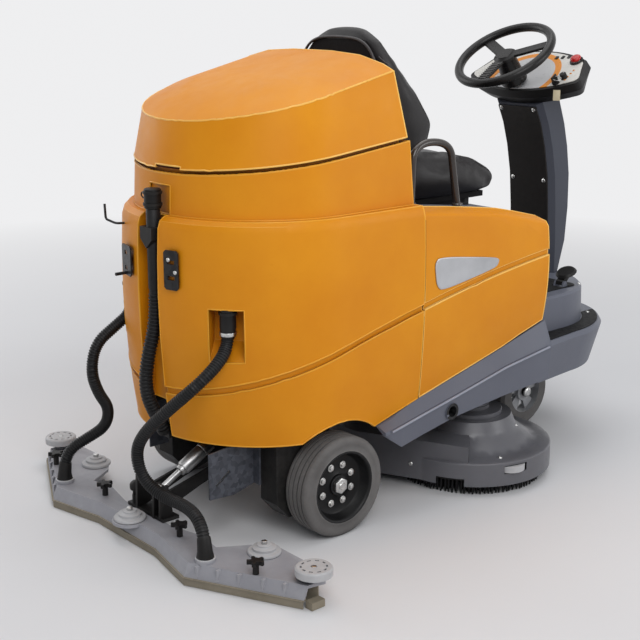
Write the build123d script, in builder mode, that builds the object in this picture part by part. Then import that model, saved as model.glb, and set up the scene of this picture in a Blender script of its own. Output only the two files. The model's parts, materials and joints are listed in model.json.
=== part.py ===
"""Ride-on floor scrubber-drier. Millimetres, X forward, Y left, Z up, origin on the floor at mid-length."""
import os
from math import atan, cos, pi, radians, sin, sqrt, tan

from build123d import *

os.makedirs("parts", exist_ok=True)

# Clearances
RUN_GAP = 0.3
SEAT_GAP = 0.4
OPEN_PIVOT_GAP = 2.5
PIN_FLATS = 10
BORE_FLATS = 12
DRUM_FLATS = 16
HOSE_FLATS = 8

# Running gear and frame
REAR_AXLE_X = -430.0
WHEELBASE = 1141.0
FRONT_AXLE_X = REAR_AXLE_X + WHEELBASE
DRIVE_WHEEL_R = 150.0
DRIVE_TYRE_W = 90.0
DRIVE_RIM_R = 108.0
DRIVE_AXLE_R = 20.0
RIM_DEPTH = 35.0
BOLT_CIRCLE_R = 59.0
FRONT_WHEEL_R = 125.0
FRONT_WHEEL_W = 50.0
FRONT_WHEEL_IN = 60.0
FRONT_AXLE_R = 12.0
KINGPIN_R = 25.0
RAIL_IN = 165.0
RAIL_OUT = 215.0
RAIL_Z = 330.0
TANK_FLOOR_Z = 400.0
TRAY_T = 6.0

# Tank bodywork
BODY_HALF = 405.0
TANK_REAR = 396.0
TANK_SEAM = 290.0
SIDE_FLARE = 10.0
TANK_RIM_Z = 302.0
SHOULDER_Z = 905.0
LEDGE_Z = 937.0
BULGE_Z = 720.0
BULGE_SPAN = 420.0
REAR_BULGE = 32.0
SIDE_BULGE = 25.0
WALL = 14.0
GROOVE_DEPTH = 7.0
GROOVE_H = 20.0
UPPER_INSET = 46.0
UPPER_SIDE_INSET = 33.0
UPPER_WALL = 10.0
PART_RISE = 166.0
PART_SLOPE = 0.115
PART_GAP = 13.0
COAMING = 12.0
LID_RISE = 163.0
LID_SLOPE = 0.235
LID_WALL = 10.0
CHANNEL_X = REAR_AXLE_X - TANK_REAR + 46.0
CHANNEL_RIGHT = -55.0
CHANNEL_LEFT = 40.0
CHANNEL_TOP_Z = 1018.0
POCKET_W = 100.0
POCKET_Z = 700.0
POCKET_DEPTH = 72.0
ARCH_R = DRIVE_WHEEL_R + 48.0

# Front bodywork
SEAM_GAP = 5.0
SEAM_X = REAR_AXLE_X + TANK_SEAM
HOOD_FRONT_X = FRONT_AXLE_X - 281.0
HOOD_HALF = BODY_HALF - 60.0
HOOD_WALL = 10.0
PANEL_LOW_Z = 358.0
SKIRT_REAR_X = REAR_AXLE_X + 130.0
SKIRT_TOP_Z = 307.0
SEAT_DECK_Z = 860.0
STEP_LOW_Z = 428.0
STEP_Z = 545.0
STEP_T = 10.0
CORNER_X = FRONT_AXLE_X - 91.0
CORNER_R = 350.0
RISER_R = 280.0
CORNER_Y = BODY_HALF - CORNER_R
NOSE_BOTTOM_Z = 283.0
NOSE_DRAFT = 35.0
PAD_T = 3.0
TIE_HOLE_X = -21.0
TIE_HOLE_Z = 297.0
TIE_HOLE_R = 17.0

# Driver's place
COLUMN_HALF = 103.0
COVER_HALF = 85.0
CONSOLE_X = FRONT_AXLE_X - 11.0
CONSOLE_Z = 1203.0
CONSOLE_TILT = radians(33.0)
CONSOLE_T = 60.0
PANEL_T = 3.0
WHEEL_RISE = 122.0
WHEEL_U = 26.0
STEER_R = 172.0
STEER_TUBE_R = 15.0
STEER_SHAFT_R = 12.0
SHAFT_SOCKET = 70.0
SEAT_RAIL_H = 25.0
PAN_T = 18.0

# Brush deck
BRUSH_X = 245.0
BRUSH_Y = 260.0
DECK_R = 265.0
DECK_WALL = 7.0
DECK_LOW_Z = 35.0
DECK_FLANGE_Z = 112.0
DECK_TOP_Z = 200.0
MOTOR_R = 62.0
MOTOR_TOP_Z = 262.0
BRUSH_R = 245.0
BRUSH_TOP_Z = 68.0
HUB_UP = 18.0
BRUSH_BACK_T = 24.0
BRISTLE_TIP_Z = 1.0
DECK_ROLLER_R = 50.0
LINK_PIVOT_X = -150.0
LINK_PIVOT_Z = 250.0
LINK_END_X = 100.0
LINK_END_Z = 205.0

# Squeegee
SQUEEGEE_END_Y = 655.0
PLATE_Z = 62.0
PLATE_T = 9.0
SQUEEGEE_WALL_Z = 25.0
BLADE_TIP_Z = 1.0
ARM_PIVOT_X = -520.0
ARM_PIVOT_Z = 190.0
ACT_Y = -60.0
ACT_A = (-640.0, 263.0)
ACT_B = (-840.0, 152.0)
PORT_X = -908.0
PORT_Y = 368.0
HOSE_R = 17.0
HOSE_BORE_R = 14.0
CUFF_R = 22.0
CUFF_L = 50.0
DRAIN_R = 20.0
DRAIN_BORE_R = 15.0
DRAIN_RIB_H = 3.0
DRAIN_RIBS = 14
DRAIN_Y = -15.0


def keep(piece, name):
    """Labels a finished piece and writes it."""
    piece.part.label = name
    export_step(piece.part, f"parts/{name}.step")


def block(x0, x1, y0, y1, z0, z1, mode=Mode.ADD):
    """Box between two corners."""
    with Locations(((x0 + x1) / 2, (y0 + y1) / 2, (z0 + z1) / 2)):
        Box(x1 - x0, y1 - y0, z1 - z0, mode=mode)


def around(radius):
    """Radius over the corners of a bore with flats that just clears a bar of a radius."""
    return radius / cos(pi / BORE_FLATS)


def bar_y(x, z, y0, y1, radius, mode=Mode.ADD, flats=0):
    """Bar across the machine, round or with some flats."""
    if flats:
        with BuildSketch(Plane((x, y0, z), x_dir=(1, 0, 0), z_dir=(0, 1, 0))) as section:
            RegularPolygon(radius, flats, rotation=180 / flats)
        extrude(section.sketch, amount=y1 - y0, mode=mode)
    else:
        with Locations((x, (y0 + y1) / 2, z)):
            Cylinder(radius, y1 - y0, rotation=(90, 0, 0), mode=mode)


def bar_z(x, y, z0, z1, radius, mode=Mode.ADD, flats=0):
    """Upright bar, round or with some flats."""
    if flats:
        with BuildSketch(Plane((x, y, z0))) as section:
            RegularPolygon(radius, flats, rotation=180 / flats)
        extrude(section.sketch, amount=z1 - z0, mode=mode)
    else:
        with Locations((x, y, (z0 + z1) / 2)):
            Cylinder(radius, z1 - z0, mode=mode)


def bore_y(x, z, y0, y1, radius):
    """Bore with flats across the machine, clear of a bar of the radius."""
    bar_y(x, z, y0, y1, around(radius), Mode.SUBTRACT, BORE_FLATS)


def bore_z(x, y, z0, z1, radius):
    """Upright bore with flats, clear of a bar of the radius."""
    bar_z(x, y, z0, z1, around(radius), Mode.SUBTRACT, BORE_FLATS)


def slab(points, y0, y1, mode=Mode.ADD):
    """Plate drawn in the side view (X, Z), from y0 up to y1."""
    with BuildSketch(Plane.XZ.offset(-y1)) as side_view:
        with BuildLine():
            Polyline(*points, close=True)
        make_face()
    extrude(side_view.sketch, amount=y1 - y0, mode=mode)


def sheet(points, z0, z1, mode=Mode.ADD):
    """Plate drawn in the plan (X, Y), from z0 up to z1."""
    with BuildSketch(Plane.XY.offset(z0)) as plan:
        with BuildLine():
            Polyline(*points, close=True)
        make_face()
    extrude(plan.sketch, amount=z1 - z0, mode=mode)


def both_sides(y0, y1):
    """The same pair of Y limits on the right and on the left."""
    return ((-y1, -y0), (y0, y1))


def on_left(points):
    """Points of the right side carried over to the left, in reverse order."""
    return [(x, -y) for x, y in reversed(points)]


def tank_rear(z):
    """Rear axle to the barrel-shaped rear wall at a height."""
    return TANK_REAR - REAR_BULGE * ((z - BULGE_Z) / BULGE_SPAN) ** 2


def tank_side(z):
    """Half width of the barrel-shaped tank at a height."""
    return BODY_HALF - SIDE_BULGE * ((z - BULGE_Z) / BULGE_SPAN) ** 2


def tank_outline(rear, side, front, flare=SIDE_FLARE):
    """Plan of the tank about the rear axle: half an ellipse behind, straight sides, a flat front."""
    with BuildLine() as plan:
        back = EllipticalCenterArc((0, 0), rear, side, 90, arc_size=180)
        right = Line(back @ 1, (front, -side - flare))
        across = Line(right @ 1, (front, side + flare))
        Line(across @ 1, back @ 0)
    make_face(plan.edges())


def barrel(inset, levels, front):
    """Loft of the tank's plan through some heights, drawn in by an inset."""
    with BuildPart() as body:
        for z in levels:
            with BuildSketch(Plane((REAR_AXLE_X, 0, z))):
                tank_outline(tank_rear(z) - inset, tank_side(z) - inset, front - inset)
        loft(ruled=True)
    return body.part


def tilted(z, slope):
    """Plane through the rear axle line at a height, rising forwards."""
    angle = atan(slope)
    return Plane((REAR_AXLE_X, 0, z), x_dir=(cos(angle), 0, sin(angle)), z_dir=(-sin(angle), 0, cos(angle)))


def tilted_outline(z, slope, rear, side, front):
    """Plan outline drawn on a tilted plane, so that its plan keeps its sizes."""
    stretch = sqrt(1 + slope * slope)
    with BuildSketch(tilted(z, slope)) as drawn:
        tank_outline(rear * stretch, side, front * stretch, flare=0)
    return drawn.sketch


# Chassis
with BuildPart() as chassis_frame:
    for y0, y1 in both_sides(RAIL_IN, RAIL_OUT):
        block(REAR_AXLE_X - 270, FRONT_AXLE_X + 49, y0, y1, RAIL_Z, TANK_FLOOR_Z)
    block(ACT_A[0] - 25, ACT_A[0] + 25, -RAIL_OUT, RAIL_OUT, RAIL_Z, TANK_FLOOR_Z - 20)
    block(ARM_PIVOT_X - 40, ARM_PIVOT_X + 40, -300, 300, RAIL_Z, TANK_FLOOR_Z - 30)
    block(SEAM_X + 12, HOOD_FRONT_X - 10, -HOOD_HALF + 15, HOOD_HALF - 15, TANK_FLOOR_Z, TANK_FLOOR_Z + TRAY_T)
    block(FRONT_AXLE_X - 71, FRONT_AXLE_X + 74, -RAIL_IN, RAIL_IN, RAIL_Z, TANK_FLOOR_Z)
    block(FRONT_AXLE_X + 69, FRONT_AXLE_X + 159, -60, 60, RAIL_Z, STEP_Z - STEP_T)
    bore_z(FRONT_AXLE_X, 0, RAIL_Z - 1, TANK_FLOOR_Z + 1, KINGPIN_R + RUN_GAP)
    for y0, y1 in both_sides(RAIL_IN, RAIL_IN + 10):
        slab([(LINK_PIVOT_X - 40, RAIL_Z + 2), (LINK_PIVOT_X - 18, LINK_PIVOT_Z - 18),
              (LINK_PIVOT_X + 18, LINK_PIVOT_Z - 18), (LINK_PIVOT_X + 40, RAIL_Z + 2)], y0, y1)
        bore_y(LINK_PIVOT_X, LINK_PIVOT_Z, y0 - 1, y1 + 1, 10 + RUN_GAP)
    for y0, y1 in both_sides(90, 100):
        slab([(ARM_PIVOT_X - 38, RAIL_Z + 2), (ARM_PIVOT_X - 20, ARM_PIVOT_Z - 20),
              (ARM_PIVOT_X + 20, ARM_PIVOT_Z - 20), (ARM_PIVOT_X + 30, RAIL_Z + 2)], y0, y1)
        bore_y(ARM_PIVOT_X, ARM_PIVOT_Z, y0 - 1, y1 + 1, 10 + RUN_GAP)
    for y0 in (ACT_Y - 26, ACT_Y + 18):
        slab([(ACT_A[0] - 24, RAIL_Z + 2), (ACT_A[0] - 18, ACT_A[1] - 18),
              (ACT_A[0] + 18, ACT_A[1] - 18), (ACT_A[0] + 24, RAIL_Z + 2)], y0, y0 + 8)
    bar_y(ACT_A[0], ACT_A[1], ACT_Y - 26, ACT_Y + 26, 6)
keep(chassis_frame, "chassis_frame")

# Galvanised plates behind the drive units
with BuildPart() as rear_brackets:
    slab([(-782, 152), (-700, 147), (-622, 165), (-622, TANK_FLOOR_Z - 8), (-690, TANK_FLOOR_Z - 8),
          (-690, TANK_RIM_Z - 6), (-782, TANK_RIM_Z - 14)], -RAIL_OUT - 6, -RAIL_OUT)
    block(-628, -622, -RAIL_OUT - 34, -RAIL_OUT - 5, 165, 325)
    with Locations(Location((-735, -RAIL_OUT, 205), (0, -35, 0))):
        Box(60, 40, 9, mode=Mode.SUBTRACT)
    slab([(-690, 165), (-622, 165), (-622, TANK_FLOOR_Z - 8), (-690, TANK_FLOOR_Z - 8)], RAIL_OUT, RAIL_OUT + 6)
keep(rear_brackets, "rear_brackets")

# Drive units: gear case, motor and stub axle on each side
DRIVE_FACE_Y = BODY_HALF - 12.0
RIM_PLANE_Y = DRIVE_FACE_Y - RIM_DEPTH
CASE_OUT = DRIVE_FACE_Y - DRIVE_TYRE_W - 5.0
with BuildPart() as drive_units:
    slab([(-604, 112), (-560, 62), (-400, 62), (-362, 108), (-362, 215), (-420, RAIL_Z), (-604, RAIL_Z)],
         -CASE_OUT, -RAIL_OUT - 7)
    bar_y(REAR_AXLE_X, DRIVE_WHEEL_R, -RAIL_OUT - 8, -105, 58, flats=DRUM_FLATS)
    bar_y(REAR_AXLE_X, DRIVE_WHEEL_R, -105, -80, 46, flats=DRUM_FLATS)
    bar_y(REAR_AXLE_X, DRIVE_WHEEL_R, -RIM_PLANE_Y - 6, -CASE_OUT + 1, DRIVE_AXLE_R, flats=DRUM_FLATS)
    mirror(about=Plane.XZ)
keep(drive_units, "drive_units")


def drive_tyre(side):
    """Grooved solid tyre about the rear axle."""
    face, inner = DRIVE_FACE_Y, DRIVE_FACE_Y - DRIVE_TYRE_W
    with BuildPart() as tyre:
        with BuildSketch(Plane.YZ):
            with BuildLine():
                Polyline((side * inner, DRIVE_RIM_R), (side * face, DRIVE_RIM_R),
                         (side * face, DRIVE_WHEEL_R - 10), (side * (face - 8), DRIVE_WHEEL_R),
                         (side * inner, DRIVE_WHEEL_R), close=True)
            make_face()
            with Locations((side * (face - 30), DRIVE_WHEEL_R), (side * (inner + 30), DRIVE_WHEEL_R)):
                RegularPolygon(5, 4, mode=Mode.SUBTRACT)
        revolve(axis=Axis.Y)
    return tyre.part.moved(Location((REAR_AXLE_X, 0, DRIVE_WHEEL_R)))


def drive_rim(side):
    """Deep-dished rim with a ring of bolts and a hub nut."""
    face, inner = DRIVE_FACE_Y, DRIVE_FACE_Y - DRIVE_TYRE_W
    web = RIM_PLANE_Y
    with BuildPart() as rim:
        with BuildSketch(Plane.YZ):
            with BuildLine():
                Polyline((side * (inner + 6), DRIVE_RIM_R), (side * face, DRIVE_RIM_R),
                         (side * face, DRIVE_RIM_R - 7), (side * web, DRIVE_RIM_R - 18), (side * web, 34),
                         (side * (web + 10), 30), (side * (web + 10), DRIVE_AXLE_R + RUN_GAP),
                         (side * (inner + 6), DRIVE_AXLE_R + RUN_GAP), close=True)
            make_face()
        revolve(axis=Axis.Y)
        bolts = Plane((0, side * web, 0), x_dir=(1, 0, 0), z_dir=(0, side, 0))
        with BuildSketch(bolts):
            with PolarLocations(BOLT_CIRCLE_R, 8, start_angle=22):
                RegularPolygon(8, 6)
        extrude(amount=7)
        with BuildSketch(bolts.offset(10)):
            RegularPolygon(26, 6)
        extrude(amount=12)
    return rim.part.moved(Location((REAR_AXLE_X, 0, DRIVE_WHEEL_R)))


for side, name in ((-1, "right"), (1, "left")):
    with BuildPart() as tyre_node:
        add(drive_tyre(side))
    keep(tyre_node, f"drive_tyre_{name}")
    with BuildPart() as rim_node:
        add(drive_rim(side))
    keep(rim_node, f"drive_rim_{name}")

# Steered front wheels on one kingpin
with BuildPart() as steering_fork:
    bar_z(FRONT_AXLE_X, 0, RAIL_Z - 30, TANK_FLOOR_Z + 25, KINGPIN_R)
    bar_z(FRONT_AXLE_X, 0, RAIL_Z - 18 - RUN_GAP, RAIL_Z - RUN_GAP, 62, flats=DRUM_FLATS)
    bar_z(FRONT_AXLE_X, 0, TANK_FLOOR_Z + RUN_GAP, TANK_FLOOR_Z + 16, 46, flats=DRUM_FLATS)
    slab([(FRONT_AXLE_X - 55, RAIL_Z - 17), (FRONT_AXLE_X - 26, FRONT_WHEEL_R - 26),
          (FRONT_AXLE_X + 26, FRONT_WHEEL_R - 26), (FRONT_AXLE_X + 55, RAIL_Z - 17)], -28, 28)
    bar_y(FRONT_AXLE_X, FRONT_WHEEL_R, -FRONT_WHEEL_IN - FRONT_WHEEL_W - 4, FRONT_WHEEL_IN + FRONT_WHEEL_W + 4,
          FRONT_AXLE_R, flats=PIN_FLATS)
    for y0, y1 in both_sides(27, FRONT_WHEEL_IN - 8 - RUN_GAP):
        bar_y(FRONT_AXLE_X, FRONT_WHEEL_R, y0, y1, 22, flats=PIN_FLATS)
    for y0, y1 in both_sides(FRONT_WHEEL_IN + FRONT_WHEEL_W - 6 + RUN_GAP, FRONT_WHEEL_IN + FRONT_WHEEL_W + 6):
        bar_y(FRONT_AXLE_X, FRONT_WHEEL_R, y0, y1, 17, flats=PIN_FLATS)
keep(steering_fork, "steering_fork")


def front_wheel(side):
    """Soft tyre on a five-spoked rim."""
    inner, outer = FRONT_WHEEL_IN, FRONT_WHEEL_IN + FRONT_WHEEL_W
    centre = (inner + outer) / 2
    with BuildPart() as wheel:
        with BuildSketch(Plane.YZ):
            with BuildLine():
                Polyline((side * inner, 76), (side * outer, 76), (side * outer, FRONT_WHEEL_R - 12),
                         (side * (outer - 10), FRONT_WHEEL_R), (side * (inner + 10), FRONT_WHEEL_R),
                         (side * inner, FRONT_WHEEL_R - 12), close=True)
            make_face()
            with Locations((side * (centre - 7), 23)):
                Rectangle(FRONT_WHEEL_W + 2, 2 * (23 - FRONT_AXLE_R - RUN_GAP))
        revolve(axis=Axis.Y)
        web = Plane((0, side * (centre - 6), 0), x_dir=(1, 0, 0), z_dir=(0, side, 0))
        with BuildSketch(web):
            with PolarLocations(54, 5, start_angle=90):
                Trapezoid(50, 46, 76, rotation=90)
        extrude(amount=12)
    return wheel.part.moved(Location((FRONT_AXLE_X, 0, FRONT_WHEEL_R)))


for side, name in ((-1, "right"), (1, "left")):
    with BuildPart() as wheel_node:
        add(front_wheel(side))
    keep(wheel_node, f"front_wheel_{name}")

# Rear tank
LEVELS = (TANK_RIM_Z, 400, 500, 600, BULGE_Z, 820, SHOULDER_Z)
tank_skin = barrel(0, LEVELS, TANK_SEAM)
tank_hollow = barrel(WALL, (TANK_FLOOR_Z + 12, BULGE_Z, SHOULDER_Z), TANK_SEAM)
tank_skirt_hollow = barrel(WALL, (TANK_RIM_Z - 6, TANK_FLOOR_Z), TANK_SEAM + 3 * WALL)
tank_core = barrel(GROOVE_DEPTH, (TANK_RIM_Z, 400, 500, 600, BULGE_Z, 800), TANK_SEAM + 80)

GROOVE_LINE = ((-860, 424), (-400, 575), (460, 731))
with BuildPart() as groove_band:
    with BuildSketch(Plane.XZ):
        with BuildLine():
            low = ThreePointArc(*[(x, z - GROOVE_H / 2) for x, z in GROOVE_LINE])
            high = ThreePointArc(*[(x, z + GROOVE_H / 2) for x, z in GROOVE_LINE])
            Line(low @ 0, high @ 0)
            Line(low @ 1, high @ 1)
        make_face()
    extrude(amount=BODY_HALF + 60, both=True)
with BuildPart() as tank_groove:
    add(groove_band.part)
    add(tank_core, mode=Mode.SUBTRACT)

CORNER_ANGLE = radians(37.7)
POCKET_OUT = (-cos(CORNER_ANGLE), -sin(CORNER_ANGLE))
POCKET_X = REAR_AXLE_X - 0.775 * TANK_REAR
POCKET_Y = 0.62 * BODY_HALF
FITTING_X = POCKET_X - POCKET_OUT[0] * 18
FITTING_Y = POCKET_Y + POCKET_OUT[1] * 18


def hose_pocket(grow):
    """Wedge cut in the tank's rear corner under a flat ceiling, on both sides."""
    along = (POCKET_OUT[1], -POCKET_OUT[0], 0)
    with BuildPart() as wedge:
        with BuildSketch(Plane((POCKET_X, -POCKET_Y, 0), x_dir=(*POCKET_OUT, 0), z_dir=along)):
            with BuildLine():
                Polyline((70, POCKET_Z + grow), (-POCKET_DEPTH - grow, POCKET_Z + grow),
                         (-POCKET_DEPTH + 14 - grow, POCKET_Z - 100), (-grow, 548 - grow), (70, 520 - grow), close=True)
            make_face()
        extrude(amount=POCKET_W / 2 + grow, both=True)
        mirror(about=Plane.XZ)
    return wedge.part


pocket_cut = hose_pocket(0)
pocket_wall = hose_pocket(WALL)
with BuildPart() as tank_void:
    add(tank_hollow)
    block(CHANNEL_X - 200, CHANNEL_X + WALL, CHANNEL_RIGHT - WALL, CHANNEL_LEFT + WALL, 300, LEDGE_Z + 5,
          Mode.SUBTRACT)
    add(pocket_wall, mode=Mode.SUBTRACT)

with BuildPart() as rear_tank:
    add(tank_skin)
    for step_z, draw_in, side_in in ((SHOULDER_Z, 0, 0), (926, 7, 5), (LEDGE_Z, 22, 12)):
        with BuildSketch(Plane((REAR_AXLE_X, 0, step_z))):
            tank_outline(tank_rear(SHOULDER_Z) - draw_in, tank_side(SHOULDER_Z) - side_in, TANK_SEAM)
    loft(ruled=True)
    add(tank_skirt_hollow, mode=Mode.SUBTRACT)
    add(tank_void.part, mode=Mode.SUBTRACT)
    with BuildSketch(Plane((REAR_AXLE_X, 0, SHOULDER_Z - 5))):
        tank_outline(TANK_REAR - 100, BODY_HALF - 90, TANK_SEAM - 60)
    extrude(amount=LEDGE_Z - SHOULDER_Z + 10, mode=Mode.SUBTRACT)
    add(tank_groove.part, mode=Mode.SUBTRACT)
    block(CHANNEL_X - 200, CHANNEL_X, CHANNEL_RIGHT, CHANNEL_LEFT, 290, LEDGE_Z + 5, Mode.SUBTRACT)
    block(CHANNEL_X - 20, CHANNEL_X + 30, CHANNEL_RIGHT, CHANNEL_LEFT, 290, TANK_FLOOR_Z, Mode.SUBTRACT)
    add(pocket_cut, mode=Mode.SUBTRACT)
    for y0, y1 in both_sides(290, BODY_HALF + 30):
        bar_y(REAR_AXLE_X, DRIVE_WHEEL_R, y0, y1, ARCH_R, Mode.SUBTRACT)
        slab([(SKIRT_REAR_X - 10, SKIRT_TOP_Z - 3), (SEAM_X + 10, PANEL_LOW_Z + 3), (SEAM_X + 10, TANK_RIM_Z - 20),
              (SKIRT_REAR_X - 10, TANK_RIM_Z - 20)], y0, y1, Mode.SUBTRACT)
keep(rear_tank, "rear_tank")

# Upper tank under the lid
PART_Z = LEDGE_Z + PART_RISE
UPPER_REAR = TANK_REAR - UPPER_INSET
UPPER_SIDE = BODY_HALF - UPPER_SIDE_INSET
UPPER_FRONT = TANK_SEAM - 10.0
LID_REAR = UPPER_REAR - 5.0
LID_SIDE = UPPER_SIDE - 4.0
LID_FRONT = UPPER_FRONT - 26.0
LID_PIN_X = SEAM_X - 16.0
LID_PIN_Z = PART_Z + PART_SLOPE * (LID_PIN_X - REAR_AXLE_X) + 3.0
LID_PIN_R = 5.0


def upper_walls(inset, z0, z1):
    """Tapering walls of the upper tank between two heights."""
    with BuildPart() as walls:
        for z in (z0, z1):
            taper = (z - LEDGE_Z) / (PART_RISE + 40)
            with BuildSketch(Plane((REAR_AXLE_X, 0, z))):
                tank_outline(UPPER_REAR - 11 * taper - inset, UPPER_SIDE - 8 * taper - inset,
                             UPPER_FRONT - 14 * taper - inset, flare=0)
        loft(ruled=True)
    return walls.part


upper_skin = upper_walls(0, LEDGE_Z, LEDGE_Z + PART_RISE + 60)
upper_hollow = upper_walls(UPPER_WALL, LEDGE_Z + 8, LEDGE_Z + PART_RISE + 70)
with BuildPart() as upper_void:
    add(upper_hollow)
    block(CHANNEL_X - 200, CHANNEL_X + 12 + UPPER_WALL, CHANNEL_RIGHT - UPPER_WALL, CHANNEL_LEFT + UPPER_WALL,
          LEDGE_Z - 5, CHANNEL_TOP_Z + UPPER_WALL, Mode.SUBTRACT)

with BuildPart() as upper_tank:
    add(upper_skin)
    split(bisect_by=tilted(PART_Z - PART_GAP, PART_SLOPE), keep=Keep.BOTTOM)
    add(upper_void.part, mode=Mode.SUBTRACT)
    block(CHANNEL_X - 200, CHANNEL_X + 12, CHANNEL_RIGHT, CHANNEL_LEFT, LEDGE_Z - 5, CHANNEL_TOP_Z, Mode.SUBTRACT)
    flange = tilted_outline(PART_Z - PART_GAP - 8, PART_SLOPE, UPPER_REAR - 11, UPPER_SIDE - 8, UPPER_FRONT - 14)
    extrude(flange, amount=8)
    coaming = tilted_outline(PART_Z - PART_GAP, PART_SLOPE, LID_REAR - 19, LID_SIDE - 18, LID_FRONT - 18)
    extrude(coaming, amount=PART_GAP + COAMING)
    mouth = tilted_outline(PART_Z - PART_GAP - 20, PART_SLOPE, LID_REAR - 25, LID_SIDE - 24, LID_FRONT - 24)
    extrude(mouth, amount=PART_GAP + COAMING + 40, mode=Mode.SUBTRACT)
    for y0, y1 in both_sides(152, 170) + both_sides(222, 240):
        slab([(LID_PIN_X - 14, LID_PIN_Z - 55), (LID_PIN_X + 8, LID_PIN_Z - 8), (LID_PIN_X + 8, LID_PIN_Z + 6),
              (LID_PIN_X - 8, LID_PIN_Z + 6), (LID_PIN_X - 14, LID_PIN_Z - 20)], y0, y1)
    for y0, y1 in both_sides(152, 240):
        bar_y(LID_PIN_X, LID_PIN_Z, y0, y1, LID_PIN_R)
keep(upper_tank, "upper_tank")

# Crowned lid
CREASE_Z = PART_Z + LID_RISE
CREASE_REAR = LID_REAR - 30.0
CREASE_SIDE = LID_SIDE - 23.0
CREASE_FRONT = LID_FRONT - 35.0
CROWN_RISE = 45.0
CROWN_POWER = 3.4


def lid_edge(rise, draw_in):
    """Lower edge of the lid on the parting plane, raised and drawn in."""
    return tilted_outline(PART_Z + rise, PART_SLOPE, LID_REAR - draw_in, LID_SIDE - draw_in, LID_FRONT - draw_in)


def lid_crown(share, inset=0.0, drop=0.0):
    """Outline of the crown above the crease: narrower as it rises, arched right up to the lid's front."""
    rise = CROWN_RISE * (1 - share ** CROWN_POWER) - drop
    return tilted_outline(CREASE_Z + rise, LID_SLOPE, CREASE_REAR * share - inset, CREASE_SIDE * share - inset,
                          CREASE_FRONT - inset)


with BuildPart() as lid:
    loft([lid_edge(0, 0), lid_crown(1.0)], ruled=True)
    loft([lid_crown(share) for share in (1.0, 0.88, 0.6, 0.25)], ruled=True)
    loft([lid_edge(-4, LID_WALL), lid_crown(1.0, LID_WALL + 2, LID_WALL)], ruled=True, mode=Mode.SUBTRACT)
    loft([lid_crown(share, LID_WALL + 2, LID_WALL + 1) for share in (1.0, 0.6)], ruled=True, mode=Mode.SUBTRACT)
    extrude(lid_edge(COAMING + RUN_GAP, 6) - lid_edge(COAMING + RUN_GAP, 34), amount=6)
    block(REAR_AXLE_X - LID_REAR - 20, REAR_AXLE_X - LID_REAR + 30, -93, 10, PART_Z - 80, PART_Z - 31,
          Mode.SUBTRACT)
    for y0, y1 in both_sides(170 + RUN_GAP, 222 - RUN_GAP):
        bar_y(LID_PIN_X, LID_PIN_Z, y0, y1, 11, flats=PIN_FLATS)
        block(LID_PIN_X - 28, LID_PIN_X, y0, y1, LID_PIN_Z - 2, LID_PIN_Z + 10)
        bore_y(LID_PIN_X, LID_PIN_Z, y0 - 1, y1 + 1, LID_PIN_R + RUN_GAP)
keep(lid, "lid")

# Side panels and the hood between them
PANEL_SPAN = HOOD_FRONT_X - SEAM_X - SEAM_GAP
PANEL_STATIONS = ((0.0, PANEL_LOW_Z, 916), (0.24, 390, 901), (0.45, 418, 886), (0.655, 446, 870), (0.8, 471, 852), (1.0, 501, 824))
PANEL_RISE = 12.0


def panel_section(low, high):
    """Barrel-shaped wall with a flange turned in at its top, on the right side (Y, Z)."""
    mid = (low + high) / 2
    out = BODY_HALF
    with BuildLine() as profile:
        skin = ThreePointArc((-out + 11, low), (-out - 6, mid), (-out + 3, high - 14))
        edge = Line(skin @ 1, (-out + 14, high))
        top = Line(edge @ 1, (-HOOD_HALF - SEAT_GAP, high + PANEL_RISE))
        lip = Line(top @ 1, (-HOOD_HALF - SEAT_GAP, high + PANEL_RISE - WALL))
        under = Line(lip @ 1, (-out + 5 + WALL, high - 5 - WALL))
        inside = ThreePointArc(under @ 1, (-out - 6 + WALL, mid), (-out + 11 + WALL, low))
        Line(inside @ 1, skin @ 0)
    make_face(profile.edges())


with BuildPart() as panel_groove:
    add(groove_band.part)
    block(-1000, 1000, -BODY_HALF + 1, BODY_HALF + 100, 0, 1000, Mode.SUBTRACT)

with BuildPart() as side_panel_right:
    for share, low, high in PANEL_STATIONS:
        station = Plane((SEAM_X + SEAM_GAP + share * PANEL_SPAN, 0, 0), x_dir=(0, 1, 0), z_dir=(1, 0, 0))
        with BuildSketch(station):
            panel_section(low, high)
    loft(ruled=True)
    add(panel_groove.part, mode=Mode.SUBTRACT)
keep(side_panel_right, "side_panel_right")

with BuildPart() as side_panel_left:
    add(side_panel_right.part)
    mirror(about=Plane.XZ, mode=Mode.REPLACE)
keep(side_panel_left, "side_panel_left")

hood_top = [(SEAM_X + SEAM_GAP + share * PANEL_SPAN, high + PANEL_RISE) for share, low, high in PANEL_STATIONS]
HOOD_REAR_X = hood_top[0][0]
POCKET_FRONT_X = HOOD_FRONT_X - 85.0
with BuildPart() as battery_hood:
    slab([(HOOD_REAR_X, STEP_Z)] + hood_top + [(HOOD_FRONT_X, STEP_Z)], -HOOD_HALF, HOOD_HALF)
    block(HOOD_REAR_X + HOOD_WALL, POCKET_FRONT_X, -HOOD_HALF + HOOD_WALL, HOOD_HALF - HOOD_WALL, STEP_Z - 5,
          SEAT_DECK_Z - HOOD_WALL, Mode.SUBTRACT)
    block(HOOD_REAR_X + HOOD_WALL, HOOD_FRONT_X - HOOD_WALL, -HOOD_HALF + HOOD_WALL, HOOD_HALF - HOOD_WALL,
          STEP_Z - 5, hood_top[-1][1] - 14, Mode.SUBTRACT)
    block(HOOD_REAR_X + 25, POCKET_FRONT_X, -300, 300, SEAT_DECK_Z, LEDGE_Z + 20, Mode.SUBTRACT)
    with BuildSketch(Plane.YZ.offset(HOOD_FRONT_X)):
        with Locations((0, (STEP_Z + SEAT_DECK_Z) / 2 - 20)):
            RectangleRounded(460, 150, 20)
    extrude(amount=-4, mode=Mode.SUBTRACT)
keep(battery_hood, "battery_hood")

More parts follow.
